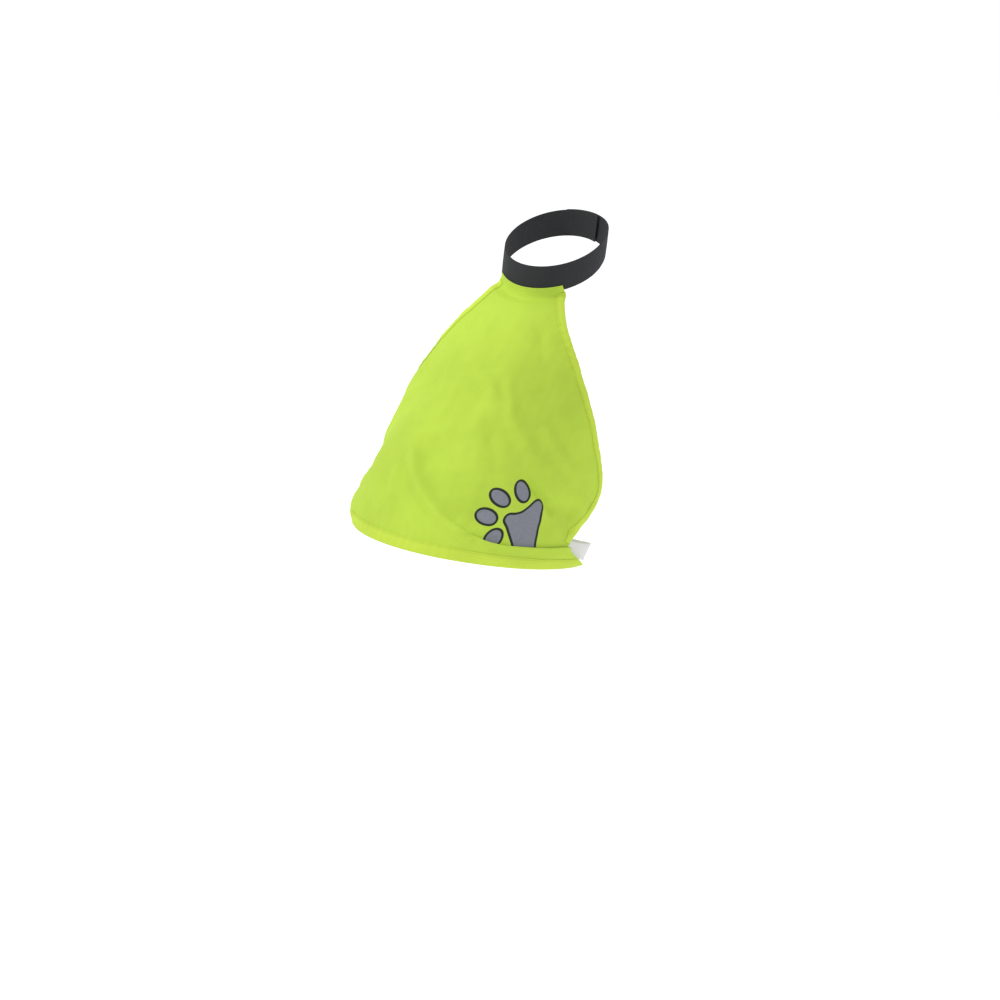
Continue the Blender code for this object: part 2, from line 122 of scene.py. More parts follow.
FINE_CREASES = (
    Crease(0.0034, 0.0065, ((0.66, -0.21), (0.75, -0.12), (0.83, 0.015), (0.895, 0.187), (0.93, 0.36))),
    Crease(-0.0022, 0.0090, ((0.68, -0.12), (0.76, -0.03), (0.83, 0.10), (0.88, 0.24))),
    Crease(-0.0024, 0.0070, ((0.70, -0.26), (0.78, -0.17), (0.85, -0.05), (0.91, 0.10))),
    Crease(-0.0028, 0.0036, ((0.70, 0.44), (0.738, 0.507), (0.771, 0.559), (0.81, 0.625), (0.835, 0.69))),
    Crease(0.0020, 0.0050, ((0.69, 0.48), (0.73, 0.545), (0.77, 0.61), (0.80, 0.68))),
    Crease(0.0014, 0.0050, ((0.73, 0.45), (0.77, 0.51), (0.81, 0.57), (0.845, 0.62))),
    Crease(-0.0034, 0.0065, ((0.80, 0.74), (0.84, 0.82), (0.88, 0.91), (0.90, 0.99))),
    Crease(0.0022, 0.0060, ((0.76, 0.78), (0.81, 0.86), (0.86, 0.95))),
    Crease(0.0018, 0.0060, ((0.34, 0.25), (0.45, 0.34), (0.52, 0.36), (0.575, 0.433), (0.63, 0.50))),
    Crease(-0.0015, 0.0065, ((0.36, 0.17), (0.46, 0.27), (0.55, 0.33), (0.62, 0.42), (0.68, 0.46))),
    Crease(0.0014, 0.0065, ((0.35, 0.00), (0.45, 0.25), (0.52, 0.35))),
    Crease(0.0018, 0.0060, ((0.533, 0.572), (0.604, 0.635), (0.653, 0.696), (0.701, 0.737))),
    Crease(-0.0014, 0.0055, ((0.50, 0.62), (0.58, 0.70), (0.65, 0.77), (0.70, 0.82))),
    Crease(0.0016, 0.0060, ((0.738, -0.275), (0.802, -0.238), (0.866, -0.218), (0.952, -0.167))),
    Crease(-0.0016, 0.0060, ((0.76, -0.33), (0.85, -0.28), (0.94, -0.25))),
    Crease(0.0010, 0.0050, ((0.88, -0.10), (0.92, -0.02), (0.95, 0.08))),
    Crease(0.0013, 0.0085, ((0.22, -0.10), (0.34, -0.16), (0.48, -0.14), (0.58, -0.20))),
    Crease(-0.0012, 0.0090, ((0.30, 0.06), (0.42, 0.08), (0.56, 0.02), (0.66, 0.04))),
    Crease(0.0013, 0.0070, ((0.50, 0.12), (0.60, 0.18), (0.70, 0.20), (0.76, 0.26))),
    Crease(-0.0012, 0.0065, ((0.56, 0.24), (0.64, 0.28), (0.72, 0.31), (0.79, 0.37))),
    Crease(0.0010, 0.0060, ((0.60, -0.05), (0.68, 0.02), (0.74, 0.10))),
    Crease(-0.0010, 0.0060, ((0.14, 0.50), (0.22, 0.60), (0.32, 0.62))),
    Crease(-0.0010, 0.0060, ((0.16, -0.46), (0.25, -0.58), (0.35, -0.64))),
    Crease(0.0016, 0.0070, ((0.52, -0.70), (0.62, -0.76), (0.72, -0.80), (0.80, -0.84))),
    Crease(-0.0018, 0.0055, ((0.70, -0.93), (0.76, -0.84), (0.81, -0.72), (0.85, -0.60))),
    Crease(0.0016, 0.0055, ((0.79, -0.96), (0.83, -0.86), (0.87, -0.74), (0.90, -0.62))),
    Crease(-0.0015, 0.0060, ((0.84, -0.97), (0.89, -0.88), (0.92, -0.80))),
    Crease(-0.0012, 0.0050, ((0.87, -0.52), (0.91, -0.42), (0.94, -0.34))),
    Crease(0.0013, 0.0065, ((0.40, -0.80), (0.50, -0.86), (0.60, -0.90))),
    Crease(-0.0010, 0.0055, ((0.93, 0.40), (0.955, 0.55), (0.96, 0.74))),
)
CREASE_STEPS = 12
CREASE_END_FADE = 0.030
CREASE_END_START = 0.006
FINE_END_FADE = 0.016
FINE_END_START = 0.001

# Slow unevenness of the whole cloth: height, the two wave lengths and the phase.
Ripple = namedtuple("Ripple", "height across down slant phase")
RIPPLES = (
    Ripple(0.00034, 0.061, 0.083, 0.35, 0.4),
    Ripple(0.00026, 0.037, 0.057, -0.55, 2.1),
    Ripple(0.00016, 0.023, 0.031, 0.80, 4.4),
)
PUCKER_HEIGHT = 0.00026
PUCKER_PITCH = 0.0105
PUCKER_REACH = 0.007

# Straps and tapes.
NECK_STRAP_WALL = 0.0015
NECK_STRAP_WIDTH = 0.030
NECK_STRAP_RISE = math.radians(76.0)
NECK_LAP = 0.006
NECK_BLEND = 0.018
NECK_OVERLAP = math.radians(22.0)
NECK_STEP_START = math.radians(100.0)
NECK_STEP_END = math.radians(150.0)
BELLY_STRAP_WIDTH = 0.020
BELLY_STRAP_WALL = 0.0012
BELLY_DROP = math.tan(math.radians(8.0))
BELLY_LEVEL = 0.945
BELLY_REACH = 0.184
BELLY_LAP = 0.024
BELLY_INSET = 0.0034
BELLY_OVERLAP = math.radians(12.0)
BELLY_STEP_START = math.radians(120.0)
BELLY_STEP_END = math.radians(155.0)
HOOK_WALL = 0.0010
LAP_LIFT_ROOM = 0.0006
PATCH_SHARE = 0.8
PATCH_SWELL = 0.0006
WALL_TRIM = 0.0001
STRAP_CROWN = 0.0002
NECK_EDGE_ROUND = 0.00035
BELLY_EDGE_ROUND = 0.0003
PATCH_EDGE_ROUND = 0.0002
CLOTH_GAP = 0.0009
SIDE_TAPE_WIDTH = 0.008
HEM_TAPE_WIDTH = 0.012
TAPE_END_GAP = 0.0025
TAPE_GAP = 0.00012
TAPE_DIP = 0.00016
TAPE_DIP_WIDTH = 0.0007
TAPE_SWELL = 0.00022
TAPE_EDGE_ROUND = 0.00012
PANEL_CUT_SPARE = 0.02

# Stitches: how far in from a tape's inner edge, the half length as a share of the pitch, how much
# each draws the tape in, how deep a thread sinks, and where each line keeps clear of an end.
STITCH_INSET = 0.0016
STITCH_SHARE = 0.36
STITCH_PULL = 0.00005
STITCH_SINK = 0.00012
STITCH_END_GAP = 0.001
NECK_SEAM_RUNS = (0.0016, 0.0044)
NECK_SEAM_SHARE = 0.94
NECK_SEAM_LIFT = 0.00002
NECK_BOX_INSET = 0.0015
BELLY_BOX_INSET = 0.0012
BELLY_BOX_START = 0.02
BELLY_BOX_END = 0.13

# How finely the form and the pieces are divided.
ANGLE_STEPS = 720
DOWN_STEPS = 160
ARC_STEPS = 360
CLOTH_STEP = 0.0020
FLAP_STEP = 0.0012
TAPE_STEP = 0.0012
TAPE_ROW_STEP = 0.0009
TAPE_BEND_STEPS = 8
STRAP_STEPS = 260
NECK_ROWS = 20
BELLY_ROWS = 16
PATCH_STEPS = 44
SURFACE_STEP = 0.0004
EDGE_STEP = 0.002
WIDEST_DOWN = 0.8

# The printed paw, in run and arc: its toes are ovals and its pad is a chain of round arms.
Toe = namedtuple("Toe", "run arc half_length half_width turn")
PAW_TOES = (
    Toe(0.3034, 0.0829, 0.0108, 0.0088, 67.8),
    Toe(0.2810, 0.0681, 0.0127, 0.0081, -23.0),
    Toe(0.2596, 0.0751, 0.0136, 0.0072, -33.0),
    Toe(0.2512, 0.0967, 0.0136, 0.0072, -54.0),
)
PadKnot = namedtuple("PadKnot", "run arc radius")
PAD_FRONT = PadKnot(0.2818, 0.0934, 0.0053)
PAD_MIDDLE = PadKnot(0.2832, 0.1097, 0.0107)
PAD_SIDE = PadKnot(0.2673, 0.1194, 0.0064)
PAD_BACK = PadKnot(0.2830, 0.1188, 0.0096)
PAD_HEEL = PadKnot(0.3137, 0.1225, 0.0105)
PAD_ARMS = (
    (PAD_FRONT, PAD_MIDDLE),
    (PAD_MIDDLE, PAD_SIDE),
    (PAD_FRONT, PAD_HEEL),
    (PAD_SIDE, PAD_BACK),
    (PAD_BACK, PAD_HEEL),
)
PAD_SOFTNESS = 0.0010

# The finishes of the textiles. The sizes are those of the threads or ribs, in metres, and an
# elastic's zigzag is so wide that its ribs run straight.
# Shade is how dark the painted shade between threads or ribs makes the colour.
Finish = namedtuple("Finish", "surface sizes bump roughness sheen tone shade")
RIB_SIZES = {"Rib": 0.0019, "Zigzag": 0.0050, "Cross Rib": 0.00085}
ELASTIC_SIZES = {"Rib": 0.0013, "Zigzag": 9.0, "Cross Rib": 0.0011}
HOOK_SIZES = {"Pitch": 0.0011, "Unevenness": 0.6}
STRAP_FINISHES = {
    "dark_webbing": Finish("woven_ribs", RIB_SIZES, 0.00030, 0.80, 0.15, 0.06, 0.72),
    "white_elastic": Finish("woven_ribs", ELASTIC_SIZES, 0.00028, 0.80, 0.15, 0.06, 0.72),
}
FASTENER = Finish("crossing_threads", HOOK_SIZES, 0.00035, 0.85, 0.30, 0.05, 0.60)
NEON_UNEVENNESS = 0.35
CLOTH_TONE = 0.08
TAPE_TONE = 0.05
FLECK_SHARE = 0.10
FLECK_BRIGHTNESS = 1.25
PRINT_SOFTNESS = 0.00018
PRINT_CRACK_SCALE = 260.0
THREAD_TWIST_SCALE = 900.0
THREAD_RELIEF = 0.00008

# The studio. Places of the lights are from the vest's middle.
KEY_PLACE = (-0.68, -0.20, 0.84)
KEY_SIZE = 0.16
FILL_PLACE = (1.7, -1.4, 0.9)
FILL_SIZE = 1.4
FLOOR_HALF_SIZE = 30.0
FLOOR_WHITE = 0.97
FLOOR_GLOW = 0.30
FULL_WHITE = (1.0, 1.0, 1.0, 1.0)

# The camera sees the vest from behind and above, a little from its right.
CAMERA_AZIMUTH = math.radians(27.8)
CAMERA_ELEVATION = math.radians(24.0)
CAMERA_DISTANCE = 2.7
CAMERA_SENSOR = 36.0
CAMERA_LENS = 88.36
CAMERA_TURN = math.atan(0.01072)
CAMERA_TILT = math.atan(0.08641)


def smoothstep(share):
    """Eases from 0 to 1, and stays there outside that range."""
    share = np.clip(share, 0.0, 1.0)
    return share * share * (3.0 - 2.0 * share)


def smooth_curve(places, values):
    """A cubic through the values that makes no humps of its own between them."""
    places, values = np.array(places, float), np.array(values, float)
    steps = np.diff(places)
    rates = np.diff(values) / steps
    slopes = [rates[0]]
    for index in range(1, len(rates)):
        before, after = rates[index - 1], rates[index]
        if before * after <= 0.0:
            slopes.append(0.0)
            continue
        near = 2.0 * steps[index] + steps[index - 1]
        far = steps[index] + 2.0 * steps[index - 1]
        slopes.append((near + far) / (near / before + far / after))
    slopes = np.array(slopes + [rates[-1]])

    def curve(place):
        place = np.clip(place, places[0], places[-1])
        index = np.clip(np.searchsorted(places, place, side="right") - 1, 0, len(steps) - 1)
        step = steps[index]
        t = (place - places[index]) / step
        start = (1 + 2 * t) * (1 - t) ** 2 * values[index] + t * (1 - t) ** 2 * step * slopes[index]
        end = t * t * (3 - 2 * t) * values[index + 1] - t * t * (1 - t) * step * slopes[index + 1]
        return start + end

    return curve


def column_curve(table, key, column):
    """A smooth curve through one named column of a table."""
    return smooth_curve([getattr(row, key) for row in table], [getattr(row, column) for row in table])


HALF_WIDTH = column_curve(SLICES, "down", "half_width")
HALF_DEPTH = column_curve(SLICES, "down", "half_depth")
REACH_RIGHT = column_curve(SLICES, "down", "right")
REACH_LEFT = column_curve(SLICES, "down", "left")
TUCK_TURN = column_curve(TUCK, "across", "turn")
TUCK_UNDER = column_curve(TUCK, "across", "under")
TUCK_FOLD = column_curve(TUCK, "across", "fold")


def reach(down, across):
    """How far the cloth goes round its oval on the side that across names."""
    return np.where(np.asarray(across) >= 0, REACH_RIGHT(down), REACH_LEFT(down))


def tip(down):
    """How far a slice leans from upright."""
    return NECK_TIP + (HEM_TIP - NECK_TIP) * down


def vectors(x, y, z):
    """Vectors from three parts, each a number or an array."""
    return np.stack(np.broadcast_arrays(x, y, z), axis=-1)


def spine_point(down):
    """The spine line bends evenly from its neck slope to its hem slope."""
    bend = HEM_SLOPE - NECK_SLOPE
    slope = NECK_SLOPE + bend * down
    back = BACK_LENGTH * (np.sin(slope) - math.sin(NECK_SLOPE)) / bend
    drop = BACK_LENGTH * (math.cos(NECK_SLOPE) - np.cos(slope)) / bend
    return vectors(0.0, -back, -drop)


def oval_tables():
    """The angle round each slice by share of its half girth, and the half girths."""
    angles = np.linspace(0.0, math.pi, ANGLE_STEPS + 1)
    middles = (angles[1:] + angles[:-1]) / 2
    shares = np.linspace(0.0, 1.0, ARC_STEPS + 1)
    rows, girths = [], []
    for down in np.linspace(0.0, 1.0, DOWN_STEPS + 1):
        stretches = np.hypot(HALF_WIDTH(down) * np.cos(middles), HALF_DEPTH(down) * np.sin(middles))
        lengths = np.concatenate([[0.0], np.cumsum(stretches)]) * math.pi / ANGLE_STEPS
        girths.append(lengths[-1])
        rows.append(np.interp(shares * lengths[-1], lengths, angles))
    return np.array(rows), np.array(girths)


OVAL_ANGLES, HALF_GIRTHS = oval_tables()


def half_girth(down):
    """Half the way round the slice at this place."""
    return np.interp(down, np.linspace(0.0, 1.0, DOWN_STEPS + 1), HALF_GIRTHS)


def oval_angle(down, arc):
    """The angle round the oval at a signed arc length from the spine, past the far side too."""
    down, arc = np.broadcast_arrays(np.asarray(down, float), np.asarray(arc, float))
    share = np.abs(arc) / half_girth(down)
    past_far_side = share > 1.0
    share = np.where(past_far_side, 2.0 - share, share) * ARC_STEPS
    row = np.clip(down, 0.0, 1.0) * DOWN_STEPS
    low_row = np.minimum(row.astype(int), DOWN_STEPS - 1)
    low_share = np.clip(share.astype(int), 0, ARC_STEPS - 1)
    row, share = row - low_row, share - low_share

    def between(rows):
        return OVAL_ANGLES[rows, low_share] * (1 - share) + OVAL_ANGLES[rows, low_share + 1] * share

    angle = between(low_row) * (1 - row) + between(low_row + 1) * row
    return np.copysign(np.where(past_far_side, 2.0 * math.pi - angle, angle), arc)


def oval_arc(down, angle):
    """The signed arc length from the spine to one angle round the oval."""
    turn = abs(angle)
    past_far_side = turn > math.pi
    if past_far_side:
        turn = 2.0 * math.pi - turn
    row = min(max(down, 0.0), 1.0) * DOWN_STEPS
    low = min(int(row), DOWN_STEPS - 1)
    angles = OVAL_ANGLES[low] * (1 - row + low) + OVAL_ANGLES[low + 1] * (row - low)
    share = np.interp(turn, angles, np.linspace(0.0, 1.0, ARC_STEPS + 1))
    if past_far_side:
        share = 2.0 - share
    return math.copysign(float(share * half_girth(down)), angle)


def oval_point(down, angle):
    """A point on the slice at this place down the spine line."""
    side = HALF_WIDTH(down) * np.sin(angle)
    depth = HALF_DEPTH(down) * (1.0 - np.cos(angle))
    return spine_point(down) + vectors(side, depth * np.cos(tip(down)), -depth * np.sin(tip(down)))


STRAP_DOWN = NECK_LAP / BACK_LENGTH
STRAP_UP = np.array((0.0, math.cos(NECK_STRAP_RISE), math.sin(NECK_STRAP_RISE)))


def unit(directions):
    return directions / np.linalg.norm(directions, axis=-1, keepdims=True)


def neck_band_normal(angle):
    """The way out from the neck strap's ring."""
    step = math.radians(0.1)
    along = oval_point(STRAP_DOWN, angle + step) - oval_point(STRAP_DOWN, angle - step)
    return unit(np.cross(along, STRAP_UP))


def neck_band_point(angle, rise, lift):
    """The neck strap's middle surface: a band rising from its ring, lifted outwards."""
    rise, lift = np.asarray(rise)[..., None], np.asarray(lift)[..., None]
    return oval_point(STRAP_DOWN, angle) + STRAP_UP * rise + neck_band_normal(angle) * lift


HELD_POINT = neck_band_point(0.0, 0.0, -NECK_STRAP_WALL / 2)


def form_point(run, arc):
    """The plain worn form. Near the neck the cloth turns up and lies on the strap."""
    run, arc = np.broadcast_arrays(np.asarray(run, float), np.asarray(arc, float))
    down = run / BACK_LENGTH
    plain = oval_point(down, oval_angle(down, arc))
    lapped = neck_band_point(oval_angle(STRAP_DOWN, arc), NECK_LAP - run, NECK_STRAP_WALL / 2 + CLOTH_GAP)
    share = smoothstep((run - NECK_LAP) / NECK_BLEND)[..., None]
    return lapped * (1.0 - share) + plain * share


def form_slopes(run, arc):
    """How the form's point moves for each metre down the cloth and for each metre round."""
    downward = form_point(run + SURFACE_STEP, arc) - form_point(run - SURFACE_STEP, arc)
    sideways = form_point(run, arc + SURFACE_STEP) - form_point(run, arc - SURFACE_STEP)
    return downward / (2 * SURFACE_STEP), sideways / (2 * SURFACE_STEP)


def form_normal(run, arc):
    downward, sideways = form_slopes(run, arc)
    return unit(np.cross(downward, sideways))


def dot(one, other):
    return np.sum(one * other, axis=-1)


def moved_on_form(run, arc, direction, distance):
    """The place on the form that lies this distance away in a direction along the surface."""
    downward, sideways = form_slopes(run, arc)
    dd, ds, ss = dot(downward, downward), dot(downward, sideways), dot(sideways, sideways)
    wanted_down = dot(direction, downward) * distance
    wanted_side = dot(direction, sideways) * distance
    whole = dd * ss - ds * ds
    more_run = (ss * wanted_down - ds * wanted_side) / whole
    more_arc = (dd * wanted_side - ds * wanted_down) / whole
    return run + more_run, arc + more_arc


def crease_line(route):
    """A smooth line through a crease's route, on the cloth laid flat."""
    numbers = np.arange(len(route))
    steps = np.linspace(0.0, len(route) - 1, CREASE_STEPS * (len(route) - 1) + 1)
    downs = smooth_curve(numbers, [place[0] for place in route])(steps)
    shares = smooth_curve(numbers, [place[1] for place in route])(steps)
    return np.stack([downs * BACK_LENGTH, shares * reach(downs, shares)], axis=-1)


def crease_heights(creases, run, arc, end_fade, end_start):
    """The height of these creases at each place. Each fades out at its ends."""
    height = np.zeros(run.shape)
    for crease in creases:
        line = crease_line(crease.route)
        gaps = np.hypot(run[..., None] - line[:, 0], arc[..., None] - line[:, 1])
        nearest = np.argmin(gaps, axis=-1)
        gap = np.min(gaps, axis=-1)
        spacing = np.hypot(*(line[0] - line[-1])) / (len(line) - 1)
        from_end = np.minimum(nearest, len(line) - 1 - nearest) * spacing
        fade = smoothstep((from_end + end_start) / end_fade)
        height += crease.height * fade * np.exp(-((gap / crease.width) ** 2))
    return height


def edge_pucker(along, gap, phase):
    """The small gathers that a line of stitching pulls in beside an edge."""
    wave = np.sin(2 * math.pi * along / PUCKER_PITCH + phase + 1.7 * np.sin(along / 0.031 + phase))
    uneven = 0.6 + 0.4 * np.sin(along / 0.047 + 2.0 * phase)
    near = np.exp(-((np.maximum(gap, 0.0) / PUCKER_REACH) ** 2))
    return PUCKER_HEIGHT * wave * uneven * near


def cloth_height(run, arc):
    """How far the cloth lies over its plain form: creases, unevenness and puckers."""
    run, arc = np.broadcast_arrays(np.asarray(run, float), np.asarray(arc, float))
    height = crease_heights(MAIN_CREASES, run, arc, CREASE_END_FADE, CREASE_END_START)
    height = height + crease_heights(FINE_CREASES, run, arc, FINE_END_FADE, FINE_END_START)
    quiet_neck = smoothstep((run - NECK_LAP - NECK_BLEND) / 0.03)
    for ripple in RIPPLES:
        first = np.sin(2 * math.pi * (arc + ripple.slant * run) / ripple.across + ripple.phase)
        second = np.sin(2 * math.pi * (run - ripple.slant * arc) / ripple.down + 2.3 * ripple.phase)
        height = height + ripple.height * first * second * quiet_neck
    side_gap = reach(run / BACK_LENGTH, arc) - np.abs(arc) - SIDE_TAPE_WIDTH
    height = height + edge_pucker(run, side_gap, np.where(arc > 0, 0.3, 2.2)) * quiet_neck
    return height + edge_pucker(arc, BACK_LENGTH - HEM_TAPE_WIDTH - run, 1.1)


def cloth_place(run, arc, lift):
    """A point this far over the cloth's middle surface."""
    height = cloth_height(run, arc) + lift
    return form_point(run, arc) + form_normal(run, arc) * height[..., None]


def turned(length, angle):
    """How far a strip of this length reaches along and rises when it bends through angle."""
    bend = np.maximum(np.abs(angle), 1e-6)
    return length * np.sin(bend) / bend, length * (1.0 - np.cos(bend)) / bend


Section = namedtuple("Section", "angle under turn_run turn_rise top upper_end flap_start")


def tuck_section(across):
    """The tuck's sizes at each share of the cloth's reach."""
    angle = np.radians(TUCK_TURN(across))
    under = TUCK_UNDER(across)
    turn_run, turn_rise = turned(TURN_LENGTH, angle)
    top = 2.0 * turn_rise + under * np.sin(angle)
    flap_start = TUCK_FOLD(across) * BACK_LENGTH + TURN_RADIUS
    upper_end = flap_start - 2.0 * turn_run - under * np.cos(angle)
    return Section(angle, under, turn_run, turn_rise, top, upper_end, flap_start)


def flap_height(section, run):
    """The outer layer stands over the folded ones and falls back in below them."""
    past_under = section.flap_start + section.under + 2 * TURN_RADIUS
    fall = smoothstep((run - past_under) / (BACK_LENGTH - section.flap_start))
    return section.top * (1.0 - FLAP_FALL * fall)


def tuck_place(zone, part, across):
    """Run down the form, height over it and cloth length down to a place in a zone of the cloth.

    The zones follow each other down the cloth: upper, low_turn, under, top_turn and flap.
    """
    section = tuck_section(across)
    angle = section.angle
    if zone == "upper":
        return part * section.upper_end, 0.0 * angle, part * section.upper_end
    length = section.upper_end + TURN_LENGTH * part
    if zone == "low_turn":
        run, rise = turned(TURN_LENGTH * part, angle * part)
        return section.upper_end + run, rise, length
    if zone == "under":
        run = section.upper_end + section.turn_run + part * section.under * np.cos(angle)
        rise = section.turn_rise + part * section.under * np.sin(angle)
        return run, rise, section.upper_end + TURN_LENGTH + part * section.under
    if zone == "top_turn":
        run, rise = turned(TURN_LENGTH * (1.0 - part), angle * (1.0 - part))
        return section.flap_start - run, section.top - rise, length + TURN_LENGTH + section.under
    run = section.flap_start + part * (BACK_LENGTH - section.flap_start)
    folded = section.upper_end + 2 * TURN_LENGTH + section.under
    return run, flap_height(section, run), folded + run - section.flap_start


def hem_run(across, inward):
    """How far down the cloth lies the place this far in from the hem."""
    downward, sideways = form_slopes(BACK_LENGTH, across * reach(1.0, across))
    spread = np.linalg.norm(np.cross(downward, sideways), axis=-1) / np.linalg.norm(sideways, axis=-1)
    return BACK_LENGTH - inward / spread


def even_parts(length, step):
    return np.linspace(0.0, 1.0, max(2, round(length / step)) + 1)


def add_sheet(name, points, flat, wall, edge_round=0.0, outer_slot=0, marks=None):
    """A sheet on a grid of places, given its wall. Flat holds each place on the cloth laid flat."""
    rows, columns = points.shape[:2]
    grid = bmesh.new()
    bmesh.ops.create_grid(grid, x_segments=columns - 1, y_segments=rows - 1, size=1.0)
    mesh = bpy.data.meshes.new(name)
    grid.to_mesh(mesh)
    grid.free()
    places = (points - HELD_POINT).reshape(-1, 3)
    mesh.vertices.foreach_set("co", places.astype(np.float32).ravel())
    corners = np.empty(len(mesh.loops), np.int32)
    mesh.loops.foreach_get("vertex_index", corners)
    chart = mesh.uv_layers.new(name="flat_cloth")
    chart.uv.foreach_set("vector", flat.reshape(-1, 2)[corners].astype(np.float32).ravel())
    if marks is not None:
        layer = mesh.attributes.new("print_distance", "FLOAT", "POINT")
        layer.data.foreach_set("value", marks.astype(np.float32).ravel())
    mesh.update()
    item = bpy.data.objects.new(name, mesh)
    bpy.context.scene.collection.objects.link(item)
    solidify = item.modifiers.new("Wall", "SOLIDIFY")
    solidify.thickness = wall
    solidify.offset = 0.0
    solidify.material_offset = outer_slot
    solidify.material_offset_rim = 0
    if edge_round:
        bevel = item.modifiers.new("Soft edge", "BEVEL")
        bevel.width = edge_round
        bevel.segments = 2
        bevel.limit_method = "ANGLE"
        bevel.angle_limit = math.radians(55.0)
    return item


def finish_piece(item, materials, replaced=()):
    """Keeps what the modifiers made as the mesh, and gives the piece its finish and body."""
    for material in materials:
        item.data.materials.append(material)
    bpy.context.view_layer.update()
    shaped = item.evaluated_get(bpy.context.evaluated_depsgraph_get())
    mesh = bpy.data.meshes.new_from_object(shaped)
    item.modifiers.clear()
    item.data = mesh
    mesh.name = item.name
    mesh.shade_smooth()
    mesh.set_sharp_from_angle(angle=math.radians(50.0))
    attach(item, BODY)
    if replaced:
        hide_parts(*replaced)


class Wiring:
    """Short ways to place and join the nodes of one tree."""

    def __init__(self, tree):
        self.tree = tree

    def node(self, kind, **settings):
        made = self.tree.nodes.new(kind)
        for key, value in settings.items():
            setattr(made, key, value)
        return made

    def join(self, source, target):
        self.tree.links.new(source, target)

    def feed(self, socket, value):
        if isinstance(value, (int, float, tuple)):
            socket.default_value = value
        else:
            self.join(value, socket)

    def math(self, operation, first, second=0.0, third=0.0):
        made = self.node("ShaderNodeMath", operation=operation)
        for socket, value in zip(made.inputs, (first, second, third)):
            self.feed(socket, value)
        return made.outputs[0]

    def noise(self, vector, scale, detail=2.0, roughness=0.5):
        made = self.node("ShaderNodeTexNoise")
        self.feed(made.inputs["Vector"], vector)
        self.feed(made.inputs["Scale"], scale)
        self.feed(made.inputs["Detail"], detail)
        self.feed(made.inputs["Roughness"], roughness)
        return made.outputs["Fac"]

    def mix(self, factor, first, second, blend="MIX"):
        made = self.node("ShaderNodeMix", data_type="RGBA", blend_type=blend)
        self.feed(made.inputs["Factor"], factor)
        self.feed(made.inputs["A"], first)
        self.feed(made.inputs["B"], second)
        return made.outputs["Result"]

    def spread(self, value, low, high, to_low=0.0, to_high=1.0):
        """Maps a value from one range to another, and holds it there."""
        made = self.node("ShaderNodeMapRange")
        for label, item in (("Value", value), ("From Min", low), ("From Max", high)):
            self.feed(made.inputs[label], item)
        self.feed(made.inputs["To Min"], to_low)
        self.feed(made.inputs["To Max"], to_high)
        return made.outputs["Result"]

    def wave(self, turns):
        """A sine wave that repeats at each whole turn."""
        return self.math("SINE", self.math("MULTIPLY", turns, 2 * math.pi))

    def parts(self, vector):
        made = self.node("ShaderNodeSeparateXYZ")
        self.join(vector, made.inputs[0])
        return made.outputs

    def flat_place(self):
        return self.node("ShaderNodeUVMap", uv_map="flat_cloth").outputs["UV"]

    def object_place(self):
        return self.node("ShaderNodeTexCoord").outputs["Object"]

    def relief(self, height, distance, shader):
        made = self.node("ShaderNodeBump")
        made.inputs["Strength"].default_value = 1.0
        made.inputs["Distance"].default_value = distance
        self.join(height, made.inputs["Height"])
        self.join(made.outputs["Normal"], shader["Normal"])


def new_group(name, sizes, results):
    """A shader node group with a vector and named sizes to take in, and named results to give."""
    group = bpy.data.node_groups.new(name, "ShaderNodeTree")
    group.interface.new_socket(name="Vector", in_out="INPUT", socket_type="NodeSocketVector")
    for label, value in sizes.items():
        socket = group.interface.new_socket(name=label, in_out="INPUT", socket_type="NodeSocketFloat")
        socket.default_value = value
    for label in results:
        group.interface.new_socket(name=label, in_out="OUTPUT", socket_type="NodeSocketFloat")
    wire = Wiring(group)
    return wire, wire.node("NodeGroupInput").outputs, wire.node("NodeGroupOutput").inputs


def crossing_threads(name):
    """Threads that cross over and under: a height, and a painted shade that is dark between threads."""
    wire, given, result = new_group(name, {"Pitch": 0.0007, "Unevenness": 0.3}, ("Height", "Shade"))
    wander = wire.math("SUBTRACT", wire.noise(given["Vector"], 420.0, 1.0), 0.5)
    wander = wire.math("MULTIPLY", wander, given["Unevenness"])
    place = wire.parts(given["Vector"])
    waves = []
    for axis, phase in (("X", 0.0), ("Y", 0.25)):
        turns = wire.math("ADD", wire.math("DIVIDE", place[axis], given["Pitch"]), wander)
        waves.append(wire.wave(wire.math("ADD", turns, phase)))
    height = wire.math("MULTIPLY_ADD", wire.math("MULTIPLY", *waves), 0.5, 0.5)
    wire.join(height, result["Height"])
    wire.join(wire.spread(height, 0.0, 0.45), result["Shade"])
    return wire.tree


def woven_ribs(name):
    """Ribs that run in a zigzag, as in flat webbing, or straight where the zigzag is wide."""
    sizes = {"Rib": 0.0016, "Zigzag": 0.0045, "Cross Rib": 0.0008}
    wire, given, result = new_group(name, sizes, ("Height", "Shade"))
    place = wire.parts(given["Vector"])
    slant = wire.math("ADD", place["X"], wire.math("PINGPONG", place["Y"], given["Zigzag"]))
    rib = wire.wave(wire.math("DIVIDE", slant, given["Rib"]))
    cross = wire.wave(wire.math("DIVIDE", place["Y"], given["Cross Rib"]))
    height = wire.math("MULTIPLY_ADD", cross, 0.16, wire.math("MULTIPLY_ADD", rib, 0.32, 0.5))
    wire.join(height, result["Height"])
    # Painted shade: the Shade result is dark in the grooves between ribs, where the height is low.
    wire.join(wire.spread(height, 0.1, 0.6), result["Shade"])
    return wire.tree


